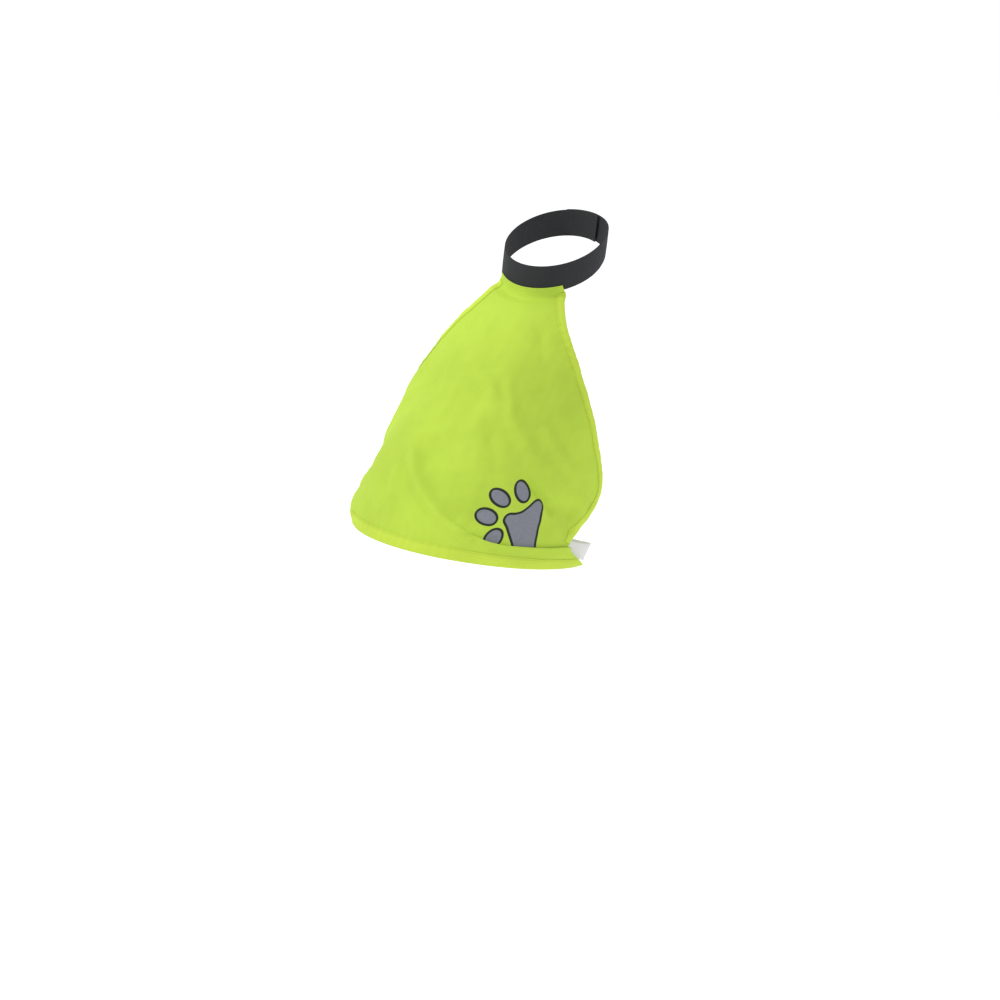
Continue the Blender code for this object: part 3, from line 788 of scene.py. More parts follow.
def dye_and_fibre(name):
    """Slow changes of a dyed cloth: a broad tone, and fine flecks of loose fibre."""
    sizes = {"Broad Scale": 9.0, "Fleck Scale": 900.0}
    wire, given, result = new_group(name, sizes, ("Tone", "Flecks"))
    broad = wire.noise(given["Vector"], given["Broad Scale"], 3.0, 0.6)
    fleck = wire.noise(given["Vector"], given["Fleck Scale"], 2.0, 0.7)
    wire.join(wire.spread(broad, 0.32, 0.68), result["Tone"])
    wire.join(wire.spread(fleck, 0.45, 0.75), result["Flecks"])
    return wire.tree


GROUP_MAKERS = {
    "crossing_threads": crossing_threads,
    "woven_ribs": woven_ribs,
    "dye_and_fibre": dye_and_fibre,
}


def group_node(wire, name):
    """Places one of the shared groups, which is built the first time it is asked for."""
    group = bpy.data.node_groups.get(name) or GROUP_MAKERS[name](name)
    return wire.node("ShaderNodeGroup", node_tree=group)


def scaled(colour, share):
    """A colour made lighter or darker by a share."""
    return tuple(min(1.0, part * share) for part in colour[:3]) + (1.0,)


def new_material(name):
    """A material, its wiring and its shader's sockets."""
    material = bpy.data.materials.new(name)
    material.use_nodes = True
    return material, Wiring(material.node_tree), material.node_tree.nodes["Principled BSDF"].inputs


def textile(name, colour, finish):
    """A dyed textile: its material, wiring, shader sockets and the output that gives its colour."""
    material, wire, shader = new_material(name)
    material.diffuse_color = scaled(colour, 1.0)
    threads = group_node(wire, finish.surface)
    wire.join(wire.flat_place(), threads.inputs["Vector"])
    for label, value in finish.sizes.items():
        threads.inputs[label].default_value = value
    dye = group_node(wire, "dye_and_fibre")
    wire.join(wire.object_place(), dye.inputs["Vector"])
    flecks = dye.outputs["Flecks"]
    low, high = scaled(colour, 1.0 - finish.tone), scaled(colour, 1.0 + finish.tone)
    base = wire.mix(dye.outputs["Tone"], low, high)
    base = wire.mix(wire.math("MULTIPLY", flecks, FLECK_SHARE), base, scaled(colour, FLECK_BRIGHTNESS))
    # Painted shade: the colour is darkened between threads and in rib grooves, by the finish's shade
    # share.
    between = wire.mix(1.0, base, (finish.shade, finish.shade, finish.shade, 1.0), "MULTIPLY")
    base = wire.mix(threads.outputs["Shade"], between, base)
    wire.join(base, shader["Base Color"])
    rough = wire.spread(flecks, 0.0, 1.0, finish.roughness, min(1.0, finish.roughness + 0.08))
    wire.join(rough, shader["Roughness"])
    wire.relief(threads.outputs["Height"], finish.bump, shader)
    shader["Sheen Weight"].default_value = finish.sheen
    shader["Sheen Roughness"].default_value = 0.5
    shader["Sheen Tint"].default_value = scaled(colour, 1.3)
    shader["Specular IOR Level"].default_value = 0.25
    return material, wire, shader, base


SHARED_TEXTILES = {}


def shared_textile(name, colour, finish):
    """The material of a plain textile, made once. The frame's own materials may have its name."""
    if name not in SHARED_TEXTILES:
        SHARED_TEXTILES[name] = textile(name, colour, finish)[0]
    return SHARED_TEXTILES[name]


def neon_finish(tone):
    """The weave of the neon cloth and tapes."""
    sizes = {"Pitch": bpy.context.scene.vest_cloth.weave_pitch, "Unevenness": NEON_UNEVENNESS}
    return Finish("crossing_threads", sizes, 0.00010, 0.78, 0.12, tone, 0.80)


def printed_cloth(colour, print_settings):
    """The panel's outer face: the neon cloth with the paw print on it."""
    material, wire, shader, base = textile("neon_cloth_printed", colour, neon_finish(CLOTH_TONE))
    mark = wire.node("ShaderNodeAttribute", attribute_name="print_distance").outputs["Fac"]
    half_line = print_settings.line_width / 2
    filled = wire.spread(mark, -PRINT_SOFTNESS, PRINT_SOFTNESS, 1.0, 0.0)
    gap = wire.math("ABSOLUTE", mark)
    lined = wire.spread(gap, half_line - PRINT_SOFTNESS, half_line + PRINT_SOFTNESS, 1.0, 0.0)
    worn = wire.spread(wire.noise(wire.flat_place(), PRINT_CRACK_SCALE, 4.0, 0.7), 0.3, 0.7)
    ink = wire.mix(worn, scaled(print_settings.fill, 0.92), scaled(print_settings.fill, 1.08))
    line = wire.mix(worn, scaled(print_settings.line, 0.85), scaled(print_settings.line, 1.25))
    base = wire.mix(lined, wire.mix(filled, base, ink), line)
    wire.join(base, shader["Base Color"])
    rough = wire.spread(wire.math("MAXIMUM", filled, lined), 0.0, 1.0, 0.80, 0.62)
    wire.join(rough, shader["Roughness"])
    return material


def thread_material(name, colour):
    """Twisted sewing thread: fine slanting ridges along each stitch, with painted shade in their grooves.
    """
    material, wire, shader = new_material(name)
    twist = wire.node("ShaderNodeTexWave", wave_type="BANDS", bands_direction="DIAGONAL")
    wire.join(wire.object_place(), twist.inputs["Vector"])
    twist.inputs["Scale"].default_value = THREAD_TWIST_SCALE
    twist.inputs["Distortion"].default_value = 1.0
    # Painted shade and highlight: the colour follows the relief's twist bands, darker in the grooves and
    # lighter on the ridges.
    base = wire.mix(twist.outputs["Fac"], scaled(colour, 0.75), scaled(colour, 1.1))
    wire.join(base, shader["Base Color"])
    wire.relief(twist.outputs["Fac"], THREAD_RELIEF, shader)
    shader["Roughness"].default_value = 0.6
    shader["Sheen Weight"].default_value = 0.1
    return material


def oval_distance(run, arc, toe):
    """Signed distance, near enough, from a printed oval. Its turn is from the arc's direction."""
    turn = math.radians(toe.turn)
    along = (arc - toe.arc) * math.cos(turn) - (run - toe.run) * math.sin(turn)
    aside = (arc - toe.arc) * math.sin(turn) + (run - toe.run) * math.cos(turn)
    share = np.hypot(along / toe.half_length, aside / toe.half_width)
    steep = np.hypot(along / toe.half_length**2, aside / toe.half_width**2)
    return share * (share - 1.0) / np.maximum(steep, 1e-9)


def arm_distance(run, arc, start, end):
    """Signed distance from a round arm that tapers between two knots of the pad."""
    down, side = end.run - start.run, end.arc - start.arc
    share = ((run - start.run) * down + (arc - start.arc) * side) / (down**2 + side**2)
    share = np.clip(share, 0.0, 1.0)
    gap = np.hypot(run - start.run - share * down, arc - start.arc - share * side)
    return gap - (start.radius + share * (end.radius - start.radius))


def paw_distance(run, arc):
    """Signed distance from the edge of the printed paw: negative inside a toe or the pad."""
    arms = np.stack([arm_distance(run, arc, start, end) for start, end in PAD_ARMS])
    pad = -PAD_SOFTNESS * np.log(np.sum(np.exp(-arms / PAD_SOFTNESS), axis=0))
    toes = [oval_distance(run, arc, toe) for toe in PAW_TOES]
    return np.min(np.stack([pad] + toes), axis=0)


def stations(down, step):
    """Shares of the reach from the left edge to the right one, about a step apart at this slice."""
    left = -even_parts(REACH_LEFT(down), step)[::-1]
    return np.concatenate([left, even_parts(REACH_RIGHT(down), step)[1:]])


def cloth_rows():
    """Zone and part of each row of the cloth, from the neck edge to the hem."""
    rows = [("upper", part) for part in even_parts(BACK_LENGTH * TUCK[-1].fold, CLOTH_STEP)]
    for zone, count in (("low_turn", 6), ("under", 4), ("top_turn", 6)):
        rows += [(zone, (index + 1) / count) for index in range(count)]
    flap = BACK_LENGTH * (1.0 - TUCK[0].fold)
    return rows + [("flap", part) for part in even_parts(flap, FLAP_STEP)[1:]]


def flat_strip(along, across):
    """The places of a strip's grid on the strip laid flat: a row for each place across it."""
    return np.stack(np.meshgrid(along, across), axis=-1)


def add_strip(name, node, material, points, flat, wall, edge_round):
    """A strip with its finish."""
    item = add_sheet(name, points, flat, wall, edge_round)
    finish_piece(item, (material,), (node,))


def length_setting(name, description, default):
    return FloatProperty(
        name=name, description=description, default=default, unit="LENGTH", precision=5
    )


def colour_setting(name, description, default):
    return FloatVectorProperty(
        name=name, description=description, default=default, subtype="COLOR"
    )


class VestCloth(bpy.types.PropertyGroup):
    """The panel's cloth."""

    thickness: length_setting("Cloth thickness", "Thickness of the panel's cloth", 0.0007)
    weave_pitch: length_setting("Weave pitch", "Distance between threads", 0.0008)
    colour: colour_setting("Cloth colour", "Neon dye of the panel", (0.475, 0.66, 0.062))
    inside_colour: colour_setting("Inside colour", "The cloth's inner face", (0.45, 0.63, 0.060))


class VestPrint(bpy.types.PropertyGroup):
    """The printed paw."""

    line_width: length_setting("Outline width", "Width of the print's dark line", 0.0026)
    fill: colour_setting("Print fill", "Grey inside the paw", (0.210, 0.220, 0.258))
    line: colour_setting("Print outline", "Dark line round the paw", (0.012, 0.018, 0.014))


class VestTape(bpy.types.PropertyGroup):
    """The binding tapes and their stitching."""

    thickness: length_setting("Tape thickness", "Thickness of the folded tape", 0.0006)
    colour: colour_setting("Tape colour", "Neon dye of the tapes", (0.545, 0.715, 0.066))
    stitch_pitch: length_setting("Stitch pitch", "Distance from stitch to stitch", 0.0031)
    thread: length_setting("Thread width", "Width of the sewing thread", 0.00042)
    thread_colour: colour_setting("Thread colour", "Neon sewing thread", (0.38, 0.56, 0.05))


class VestStraps(bpy.types.PropertyGroup):
    """The neck and belly straps and their touch fasteners."""

    webbing: colour_setting("Webbing colour", "Dark neck strap", (0.030, 0.031, 0.034))
    elastic: colour_setting("Elastic colour", "White belly strap", (0.80, 0.80, 0.78))
    fastener: colour_setting("Fastener colour", "Grey touch fastener", (0.52, 0.52, 0.52))
    dark_thread: colour_setting("Dark thread", "Thread on the webbing", (0.020, 0.020, 0.022))
    white_thread: colour_setting("White thread", "Thread on the elastic", (0.72, 0.72, 0.70))


class VestStudio(bpy.types.PropertyGroup):
    """Floor, lights and backdrop."""

    floor_drop: length_setting("Floor drop", "From the vest's lowest point to the floor", 0.24)
    key_power: FloatProperty(
        name="Key light", description="Power of the key light", default=5.5, unit="POWER"
    )
    fill_power: FloatProperty(
        name="Fill light", description="Power of the fill light", default=9.0, unit="POWER"
    )
    backdrop: FloatProperty(
        name="Backdrop brightness", description="Light of the white surroundings", default=0.72, min=0.0
    )


class VEST_OT_panel(bpy.types.Operator):
    """Makes the neon cloth panel with its tuck, creases and printed paw"""

    bl_idname = "vest.panel"
    bl_label = "Cloth panel"

    def execute(self, context):
        cloth, across = context.scene.vest_cloth, stations(WIDEST_DOWN, CLOTH_STEP)
        points, flat, marks = [], [], []
        for zone, part in cloth_rows():
            run, height, length = tuck_place(zone, part, across)
            arc = across * reach(run / BACK_LENGTH, across)
            points.append(cloth_place(run, arc, height))
            flat.append(np.stack([arc, length], axis=-1))
            clear_of_print = 1.0 if zone in ("top_turn", "flap") else 0.0
            marks.append(paw_distance(length, arc) + clear_of_print)
        points, flat, marks = np.array(points), np.array(flat), np.array(marks)
        item = add_sheet("vest_panel", points, flat, cloth.thickness, outer_slot=1, marks=marks)
        outside = printed_cloth(cloth.colour, context.scene.vest_print)
        inside = shared_textile("neon_cloth_inside", cloth.inside_colour, neon_finish(CLOTH_TONE))
        finish_piece(item, (inside, outside), ("back_panel",))
        width = float(REACH_LEFT(0.62) + REACH_RIGHT(1.0)) + PANEL_CUT_SPARE
        return {"FINISHED"}


def tape_profile(width):
    """The folded tape's middle line: in from the edge, and height over the cloth's middle."""
    cloth, tape = bpy.context.scene.vest_cloth, bpy.context.scene.vest_tape
    turn = cloth.thickness / 2 + TAPE_GAP + tape.thickness / 2
    seam = width - STITCH_INSET
    flat = np.linspace(width, 0.0, round(width / TAPE_ROW_STEP) + 1)
    dip = TAPE_DIP * np.exp(-(((flat - seam) / TAPE_DIP_WIDTH) ** 2))
    swell = TAPE_SWELL * np.sin(math.pi * np.clip(flat / seam, 0.0, 1.0)) ** 2
    lift = turn + swell - dip
    round_angles = np.linspace(0.0, math.pi, TAPE_BEND_STEPS + 1)[1:-1]
    bend = np.stack([-turn * np.sin(round_angles), turn * np.cos(round_angles)], axis=-1)
    upper = np.stack([flat, lift], axis=-1)
    lower = np.stack([flat[::-1], -lift[::-1]], axis=-1)
    return np.concatenate([upper, bend, lower])


def add_tape(name, node, width, along, place):
    """Neon tape folded round an edge. Each stitch along it draws it in a little."""
    tape = bpy.context.scene.vest_tape
    profile = tape_profile(width)
    drawn_in = STITCH_PULL * np.cos(2 * math.pi * along / tape.stitch_pitch)
    points = np.array([place(inward, lift + drawn_in * np.sign(lift)) for inward, lift in profile])
    flat = flat_strip(along, np.arange(len(profile)) * width / len(profile) * 2)
    neon = shared_textile("neon_tape", tape.colour, neon_finish(TAPE_TONE))
    wall = tape.thickness
    add_strip(name, node, neon, points, flat, wall, TAPE_EDGE_ROUND)


def side_place(across, run, inward, lift):
    """A point over the cloth, this far in from a side edge and square to it."""

    def edge(place):
        return place, across * reach(place / BACK_LENGTH, across)

    along = form_point(*edge(run + EDGE_STEP)) - form_point(*edge(run - EDGE_STEP))
    inner = np.cross(unit(along), form_normal(*edge(run))) * across
    tape_run, arc = moved_on_form(*edge(run), inner, inward)
    return cloth_place(tape_run, arc, lift)


def hem_place(across, inward, lift):
    """A point over the cloth, this far in from the hem."""
    run = hem_run(across, inward)
    arc = across * reach(run / BACK_LENGTH, across)
    return cloth_place(run, arc, flap_height(tuck_section(across), run) + lift)


def side_limits(across):
    """Where the tape on a side edge starts and ends."""
    start = NECK_LAP + TAPE_END_GAP
    if across > 0:
        return start, float(TUCK_FOLD(1.0)) * BACK_LENGTH - TAPE_END_GAP
    return start, float(hem_run(-1.0, HEM_TAPE_WIDTH)) - TAPE_END_GAP


class VEST_OT_side_bindings(bpy.types.Operator):
    """Folds the neon tape round both side edges"""

    bl_idname = "vest.side_bindings"
    bl_label = "Side bindings"

    def execute(self, context):
        for side, across in (("right", 1.0), ("left", -1.0)):
            start, end = side_limits(across)
            runs = np.linspace(start, end, round((end - start) / TAPE_STEP) + 1)
            place = partial(side_place, across, runs)
            add_tape(f"side_tape_{side}", f"side_binding_{side}", SIDE_TAPE_WIDTH, runs, place)
        return {"FINISHED"}


class VEST_OT_hem_binding(bpy.types.Operator):
    """Folds the wider neon tape round the hem"""

    bl_idname = "vest.hem_binding"
    bl_label = "Hem binding"

    def execute(self, context):
        across = stations(1.0, TAPE_STEP)
        arc = across * reach(1.0, across)
        add_tape("hem_tape", "hem_binding", HEM_TAPE_WIDTH, arc, partial(hem_place, across))
        return {"FINISHED"}


def band_rows(width, count):
    """Places across a band, from edge to edge."""
    return np.linspace(-width / 2, width / 2, count + 1)


def lap_lift(strap_wall):
    """How far the outer strap end stands over the inner one, with the fastener between."""
    return strap_wall + HOOK_WALL + LAP_LIFT_ROOM


def neck_strap_lift(angle):
    """The strap's outer end steps out over the fastener and the inner end."""
    share = (angle - NECK_STEP_START) / (NECK_STEP_END - NECK_STEP_START)
    return lap_lift(NECK_STRAP_WALL) * smoothstep(share)


def neck_strap_place(angle, rise, lift):
    """A point on the neck strap, which bows out slightly between its edges."""
    crown = STRAP_CROWN * (1.0 - (2.0 * rise / NECK_STRAP_WIDTH) ** 2)
    return neck_band_point(angle, NECK_STRAP_WIDTH / 2 + rise, neck_strap_lift(angle) + crown + lift)


def hook_span(overlap):
    """Angles of a fastener patch, in the middle of a strap's overlap."""
    half = PATCH_SHARE * overlap
    return np.linspace(math.pi - half, math.pi + half, PATCH_STEPS + 1)


def add_strap(name, node, slot, colour, points, flat, wall, edge_round):
    """A strap of webbing or elastic, whose material has its slot's name."""
    woven = shared_textile(slot, colour, STRAP_FINISHES[slot])
    wall -= WALL_TRIM
    add_strip(name, node, woven, points, flat, wall, edge_round)


def add_patch(name, node, points, flat):
    """A touch fastener, which fills the room between two strap ends."""
    grey = shared_textile("hook_tape", bpy.context.scene.vest_straps.fastener, FASTENER)
    wall = HOOK_WALL + PATCH_SWELL
    add_strip(name, node, grey, points, flat, wall, PATCH_EDGE_ROUND)


def mean_radius(down):
    return float(half_girth(down)) / math.pi


class VEST_OT_neck_strap(bpy.types.Operator):
    """Makes the dark webbing neck strap and its touch fastener"""

    bl_idname = "vest.neck_strap"
    bl_label = "Neck strap"

    def execute(self, context):
        dye, radius = context.scene.vest_straps.webbing, mean_radius(STRAP_DOWN)
        half_turn = math.pi + NECK_OVERLAP
        angles = np.linspace(-half_turn, half_turn, STRAP_STEPS + 1)
        rises = band_rows(NECK_STRAP_WIDTH, NECK_ROWS)
        points = np.array([neck_strap_place(angles, rise, 0.0) for rise in rises])
        flat, wall = flat_strip(angles * radius, rises), NECK_STRAP_WALL
        slot = "dark_webbing"
        add_strap("neck_webbing", "neck_strap", slot, dye, points, flat, wall, NECK_EDGE_ROUND)

        patch = hook_span(NECK_OVERLAP)
        rises = band_rows(NECK_STRAP_WIDTH * PATCH_SHARE, NECK_ROWS)
        middle = lap_lift(NECK_STRAP_WALL) / 2
        points = [neck_band_point(patch, NECK_STRAP_WIDTH / 2 + rise, middle) for rise in rises]
        flat = flat_strip(patch * radius, rises)
        add_patch("neck_fastener", "neck_hook_patch", np.array(points), flat)
        return {"FINISHED"}


def belly_place(angle):
    """Run and arc of the belly strap's centre line, which drops towards its far side."""
    corner = float(oval_angle(BELLY_LEVEL, BELLY_REACH))
    depth = float(HALF_DEPTH(BELLY_LEVEL)) * (math.cos(corner) - math.cos(angle))
    run = BELLY_LEVEL * BACK_LENGTH + depth * BELLY_DROP
    return run, oval_arc(run / BACK_LENGTH, angle)


def belly_band(angles, rises, lifts):
    """The grid of a belly strap, which lies against the inside of the form."""
    step = math.radians(0.5)

    def places(turns):
        return np.array([belly_place(turn) for turn in turns]).T

    run, arc = places(angles)
    along = form_point(*places(angles + step)) - form_point(*places(angles - step))
    upward = np.cross(unit(along), form_normal(run, arc))
    rows = []
    height = np.asarray(lifts - BELLY_INSET)[..., None]
    for rise in rises:
        row_run, row_arc = moved_on_form(run, arc, upward, rise)
        rows.append(form_point(row_run, row_arc) + form_normal(row_run, row_arc) * height)
    return np.array(rows)


def belly_limits():
    """The angles at which a belly strap starts, on the panel, and ends."""
    start = float(oval_angle(BELLY_LEVEL, BELLY_REACH - BELLY_LAP))
    return start, math.pi + BELLY_OVERLAP


class VEST_OT_belly_straps(bpy.types.Operator):
    """Makes the two white elastic belly straps and their touch fastener"""

    bl_idname = "vest.belly_straps"
    bl_label = "Belly straps"

    def execute(self, context):
        dye, radius = context.scene.vest_straps.elastic, mean_radius(BELLY_LEVEL)
        angles = np.linspace(*belly_limits(), STRAP_STEPS // 2 + 1)
        step = smoothstep((angles - BELLY_STEP_START) / (BELLY_STEP_END - BELLY_STEP_START))
        rises, wall = band_rows(BELLY_STRAP_WIDTH, BELLY_ROWS), BELLY_STRAP_WALL
        for side, turn, lifts in (("right", 1.0, lap_lift(wall) * step), ("left", -1.0, 0.0)):
            name, node = f"belly_elastic_{side}", f"belly_strap_{side}"
            points = belly_band(turn * angles, rises, lifts)
            flat = flat_strip(turn * angles * radius, rises)[..., ::-1]
            add_strap(name, node, "white_elastic", dye, points, flat, wall, BELLY_EDGE_ROUND)

        patch = hook_span(BELLY_OVERLAP)
        rises = band_rows(BELLY_STRAP_WIDTH * PATCH_SHARE, BELLY_ROWS)
        points = belly_band(patch, rises, lap_lift(wall) / 2)
        flat = flat_strip(patch * radius, rises)[..., ::-1]
        add_patch("belly_fastener", "belly_hook_patch", points, flat)
        return {"FINISHED"}


def stitch_ball():
    """The corners and faces of a small round form, which each stitch stretches."""
    ball = bmesh.new()
    bmesh.ops.create_uvsphere(ball, u_segments=6, v_segments=5, radius=1.0)
    corners = np.array([vert.co[:] for vert in ball.verts])
    faces = [[vert.index for vert in face.verts] for face in ball.faces]
    ball.free()
    return corners, faces


def along_line(line, steps, places):
    """Points of a line of places at these lengths along it."""
    return np.stack([np.interp(places, steps, line[:, axis]) for axis in range(3)], axis=-1)


def add_stitches(thread, lines, colour):
    """Stitches along lines of places. Each line is (places, outward directions)."""
    tape = bpy.context.scene.vest_tape
    pitch, half = tape.stitch_pitch, tape.thread / 2
    ball, ball_faces = stitch_ball()
    corners, faces = [], []
    for places, outward in lines:
        gaps = np.linalg.norm(np.diff(places, axis=0), axis=1)
        steps = np.concatenate([[0.0], np.cumsum(gaps)])
        count = max(1, int(steps[-1] / pitch))
        middles = (np.arange(count) + 0.5) * steps[-1] / count
        starts = along_line(places, steps, middles - STITCH_SHARE * pitch)
        ends = along_line(places, steps, middles + STITCH_SHARE * pitch)
        along = ends - starts
        length = np.linalg.norm(along, axis=1, keepdims=True)
        along = along / length
        aside = unit(np.cross(along_line(outward, steps, middles), along))
        up = np.cross(along, aside)
        centres = (starts + ends) / 2 - HELD_POINT + up * half * 0.3
        for index in range(count):
            long_axis = along[index] * (length[index] / 2 + half)
            axes = np.stack([long_axis, aside[index] * half, up[index] * half * 0.8])
            first = len(corners) * len(ball)
            corners.append(ball @ axes + centres[index])
            faces += [[first + corner for corner in face] for face in ball_faces]
    mesh = bpy.data.meshes.new(f"{thread}_stitches")
    mesh.from_pydata(np.concatenate(corners).tolist(), [], faces)
    item = bpy.data.objects.new(mesh.name, mesh)
    bpy.context.scene.collection.objects.link(item)
    finish_piece(item, (thread_material(f"{thread}_thread", colour),))


def seam_line(lift, place, *where):
    """Stitch places this far over a piece's middle, and the way out from them."""
    outer = place(*where, lift)
    return outer, outer - place(*where, 0.0)


def belly_seam_place(strap_lift, angles, rises, lift):
    return belly_band(angles, rises, strap_lift + lift).reshape(-1, 3)


class VEST_OT_stitching(bpy.types.Operator):
    """Sews the bindings, the neck seam and the straps"""

    bl_idname = "vest.stitching"
    bl_label = "Stitching"

    def execute(self, context):
        tape, straps = context.scene.vest_tape, context.scene.vest_straps
        add_stitches("neon", self.neon_lines(), tape.thread_colour)
        add_stitches("dark", self.neck_lines(), straps.dark_thread)
        add_stitches("white", self.belly_lines(), straps.white_thread)
        return {"FINISHED"}

    def neon_lines(self):
        """Along both faces of each tape, and two rows across the panel's neck edge."""
        cloth, tape = bpy.context.scene.vest_cloth, bpy.context.scene.vest_tape
        face = cloth.thickness / 2 + TAPE_GAP + tape.thickness - STITCH_SINK
        lines = []
        for across in (1.0, -1.0):
            start, end = side_limits(across)
            runs = np.linspace(start + STITCH_END_GAP, end - STITCH_END_GAP, 260)
            for lift in (face, -face):
                lines.append(seam_line(lift, side_place, across, runs, SIDE_TAPE_WIDTH - STITCH_INSET))
        shares = stations(1.0, TAPE_STEP)[2:-2]
        for lift in (face, -face):
            lines.append(seam_line(lift, hem_place, shares, HEM_TAPE_WIDTH - STITCH_INSET))
        arcs = np.linspace(-NECK_SEAM_SHARE, NECK_SEAM_SHARE, 90) * float(REACH_RIGHT(0.0))
        for run in NECK_SEAM_RUNS:
            over = cloth.thickness / 2 + NECK_SEAM_LIFT
            lines.append(seam_line(over, cloth_place, np.full(len(arcs), run), arcs))
        return lines

    def neck_lines(self):
        """A box of stitches round each half of the neck fastener."""
        half = NECK_STRAP_WALL / 2 - STITCH_SINK
        patch = hook_span(NECK_OVERLAP)[1:-1]
        rise = NECK_STRAP_WIDTH * PATCH_SHARE / 2 - NECK_BOX_INSET
        rises = np.linspace(-rise, rise, 30)
        rows = [(patch, height) for height in (-rise, rise)]
        ends = [(np.full(len(rises), angle), rises) for angle in (patch[0], patch[-1])]
        lines = []
        for angles, heights in rows + ends:
            lines.append(seam_line(half, neck_strap_place, angles, heights))
            lines.append(seam_line(-half, neck_strap_place, angles - 2 * math.pi, heights))
        return lines

    def belly_lines(self):
        """Boxes round the halves of the belly fastener, and where each strap joins the panel."""
        half = BELLY_STRAP_WALL / 2 - STITCH_SINK
        start = belly_limits()[0]
        sewn = np.linspace(start + BELLY_BOX_START, start + BELLY_BOX_END, 30)
        patch = hook_span(BELLY_OVERLAP)[1:-1]
        rise = BELLY_STRAP_WIDTH * PATCH_SHARE / 2 - BELLY_BOX_INSET
        rises = np.linspace(-rise, rise, 24)
        boxes = (
            (patch, lap_lift(BELLY_STRAP_WALL), half),
            (patch, 0.0, -half),
            (sewn, 0.0, -half),
            (-sewn, 0.0, -half),
        )
        lines = []
        for angles, strap_lift, lift in boxes:
            rows = [(angles, [height]) for height in (-rise, rise)]
            ends = [(np.array([angle]), rises) for angle in (angles[0], angles[-1])]
            for turns, heights in rows + ends:
                lines.append(seam_line(lift, belly_seam_place, strap_lift, turns, heights))
        return lines


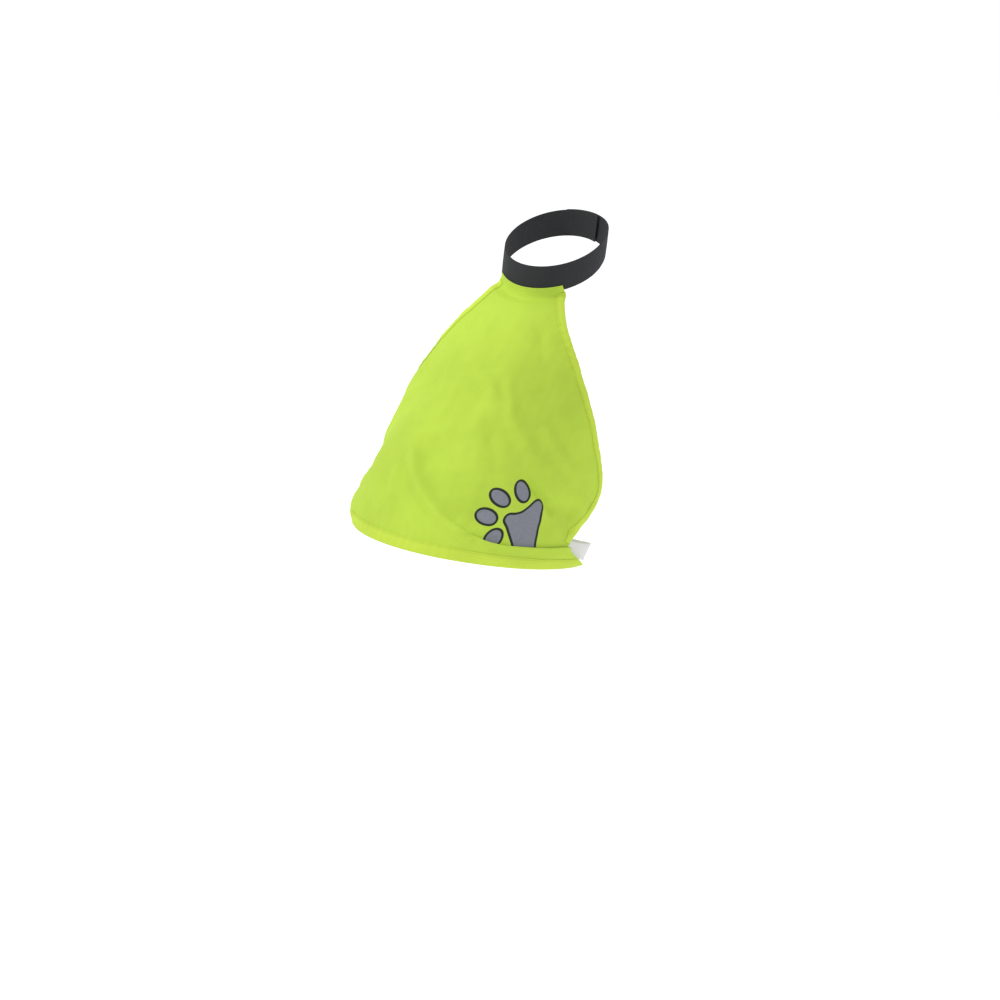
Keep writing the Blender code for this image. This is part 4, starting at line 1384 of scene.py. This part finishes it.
class VEST_OT_stage(bpy.types.Operator):
    """Sets the pale floor, the soft lights and the camera"""

    bl_idname = "vest.stage"
    bl_label = "Studio"

    def execute(self, context):
        scene, studio = context.scene, context.scene.vest_studio
        low, high = CAD_BOX
        self.add_floor(low.z - studio.floor_drop)
        centre = (low + high) / 2
        self.add_light("key_light", centre, KEY_PLACE, KEY_SIZE, studio.key_power)
        self.add_light("fill_light", centre, FILL_PLACE, FILL_SIZE, studio.fill_power)
        scene.world = self.surroundings(studio.backdrop)
        scene.view_settings.view_transform = "Standard"
        scene.view_settings.look = "None"
        self.add_camera(scene)
        return {"FINISHED"}

    def surroundings(self, strength):
        """White all round: the light it gives has a strength, and the camera sees full white."""
        world = bpy.data.worlds.new("white_surroundings")
        world.use_nodes = True
        wire = Wiring(world.node_tree)
        lit = world.node_tree.nodes["Background"]
        lit.inputs["Color"].default_value = FULL_WHITE
        lit.inputs["Strength"].default_value = strength
        seen = wire.node("ShaderNodeBackground")
        seen.inputs["Color"].default_value = FULL_WHITE
        both = wire.node("ShaderNodeMixShader")
        wire.join(wire.node("ShaderNodeLightPath").outputs["Is Camera Ray"], both.inputs["Fac"])
        wire.join(lit.outputs[0], both.inputs[1])
        wire.join(seen.outputs[0], both.inputs[2])
        wire.join(both.outputs[0], world.node_tree.nodes["World Output"].inputs["Surface"])
        return world

    def add_floor(self, height):
        floor_mesh = bpy.data.meshes.new("floor")
        ground = bmesh.new()
        bmesh.ops.create_grid(ground, x_segments=1, y_segments=1, size=FLOOR_HALF_SIZE)
        bmesh.ops.translate(ground, verts=ground.verts, vec=(0.0, 0.0, height))
        ground.to_mesh(floor_mesh)
        ground.free()
        floor = bpy.data.objects.new("floor", floor_mesh)
        bpy.context.scene.collection.objects.link(floor)
        paint, _, shader = new_material("pale_floor")
        shader["Base Color"].default_value = (FLOOR_WHITE, FLOOR_WHITE, FLOOR_WHITE, 1.0)
        shader["Roughness"].default_value = 0.8
        shader["Emission Color"].default_value = FULL_WHITE
        shader["Emission Strength"].default_value = FLOOR_GLOW
        floor_mesh.materials.append(paint)

    def add_light(self, name, target, offset, size, power):
        light = bpy.data.lights.new(name, "AREA")
        light.shape = "DISK"
        light.size = size
        light.energy = power
        item = bpy.data.objects.new(name, light)
        item.location = target + Vector(offset)
        item.rotation_euler = (target - item.location).to_track_quat("-Z", "Y").to_euler()
        bpy.context.scene.collection.objects.link(item)

    def add_camera(self, scene):
        level_share = math.cos(CAMERA_ELEVATION)
        sideways, forwards = -math.sin(CAMERA_AZIMUTH), math.cos(CAMERA_AZIMUTH)
        ahead = Vector((sideways * level_share, forwards * level_share, -math.sin(CAMERA_ELEVATION)))
        camera = bpy.data.objects.new("camera", bpy.data.cameras.new("camera"))
        camera.data.sensor_width = CAMERA_SENSOR
        camera.data.lens = CAMERA_LENS
        camera.location = -ahead * CAMERA_DISTANCE - Vector(HELD_POINT)
        level = ahead.to_track_quat("-Z", "Y").to_matrix()
        turn = Matrix.Rotation(CAMERA_TURN, 3, "Y") @ Matrix.Rotation(-CAMERA_TILT, 3, "X")
        camera.rotation_euler = (level @ turn).to_euler()
        scene.collection.objects.link(camera)
        scene.camera = camera


class VEST_PT_sidebar(bpy.types.Panel):
    """Lists the vest's pieces and settings"""

    bl_idname = "VEST_PT_sidebar"
    bl_label = "Dog safety vest"
    bl_space_type = "VIEW_3D"
    bl_region_type = "UI"
    bl_category = "Vest"

    def draw(self, context):
        layout = self.layout
        for part in SIDEBAR:
            box = layout.box()
            box.label(text=part.heading)
            settings = getattr(context.scene, part.store)
            for key in settings.__annotations__:
                box.prop(settings, key)
            for operator in part.operators:
                box.operator(operator.bl_idname)


SidebarPart = namedtuple("SidebarPart", "heading store settings operators")
TAPE_OPERATORS = (VEST_OT_side_bindings, VEST_OT_hem_binding, VEST_OT_stitching)
SIDEBAR = (
    SidebarPart("Panel", "vest_cloth", VestCloth, (VEST_OT_panel,)),
    SidebarPart("Print", "vest_print", VestPrint, ()),
    SidebarPart("Tapes and thread", "vest_tape", VestTape, TAPE_OPERATORS),
    SidebarPart("Straps", "vest_straps", VestStraps, (VEST_OT_neck_strap, VEST_OT_belly_straps)),
    SidebarPart("Studio", "vest_studio", VestStudio, (VEST_OT_stage,)),
)
CLASSES = [part.settings for part in SIDEBAR]
CLASSES += [operator for part in SIDEBAR for operator in part.operators]
CLASSES.append(VEST_PT_sidebar)


def register():
    for item in CLASSES:
        bpy.utils.register_class(item)
    for part in SIDEBAR:
        setattr(bpy.types.Scene, part.store, PointerProperty(type=part.settings))


def unregister():
    for part in SIDEBAR:
        delattr(bpy.types.Scene, part.store)
    for item in reversed(CLASSES):
        bpy.utils.unregister_class(item)


def main():
    register()
    bpy.ops.vest.stage()
    bpy.ops.vest.panel()
    bpy.ops.vest.side_bindings()
    bpy.ops.vest.hem_binding()
    bpy.ops.vest.neck_strap()
    bpy.ops.vest.belly_straps()
    bpy.ops.vest.stitching()


if __name__ == "__main__":
    main()
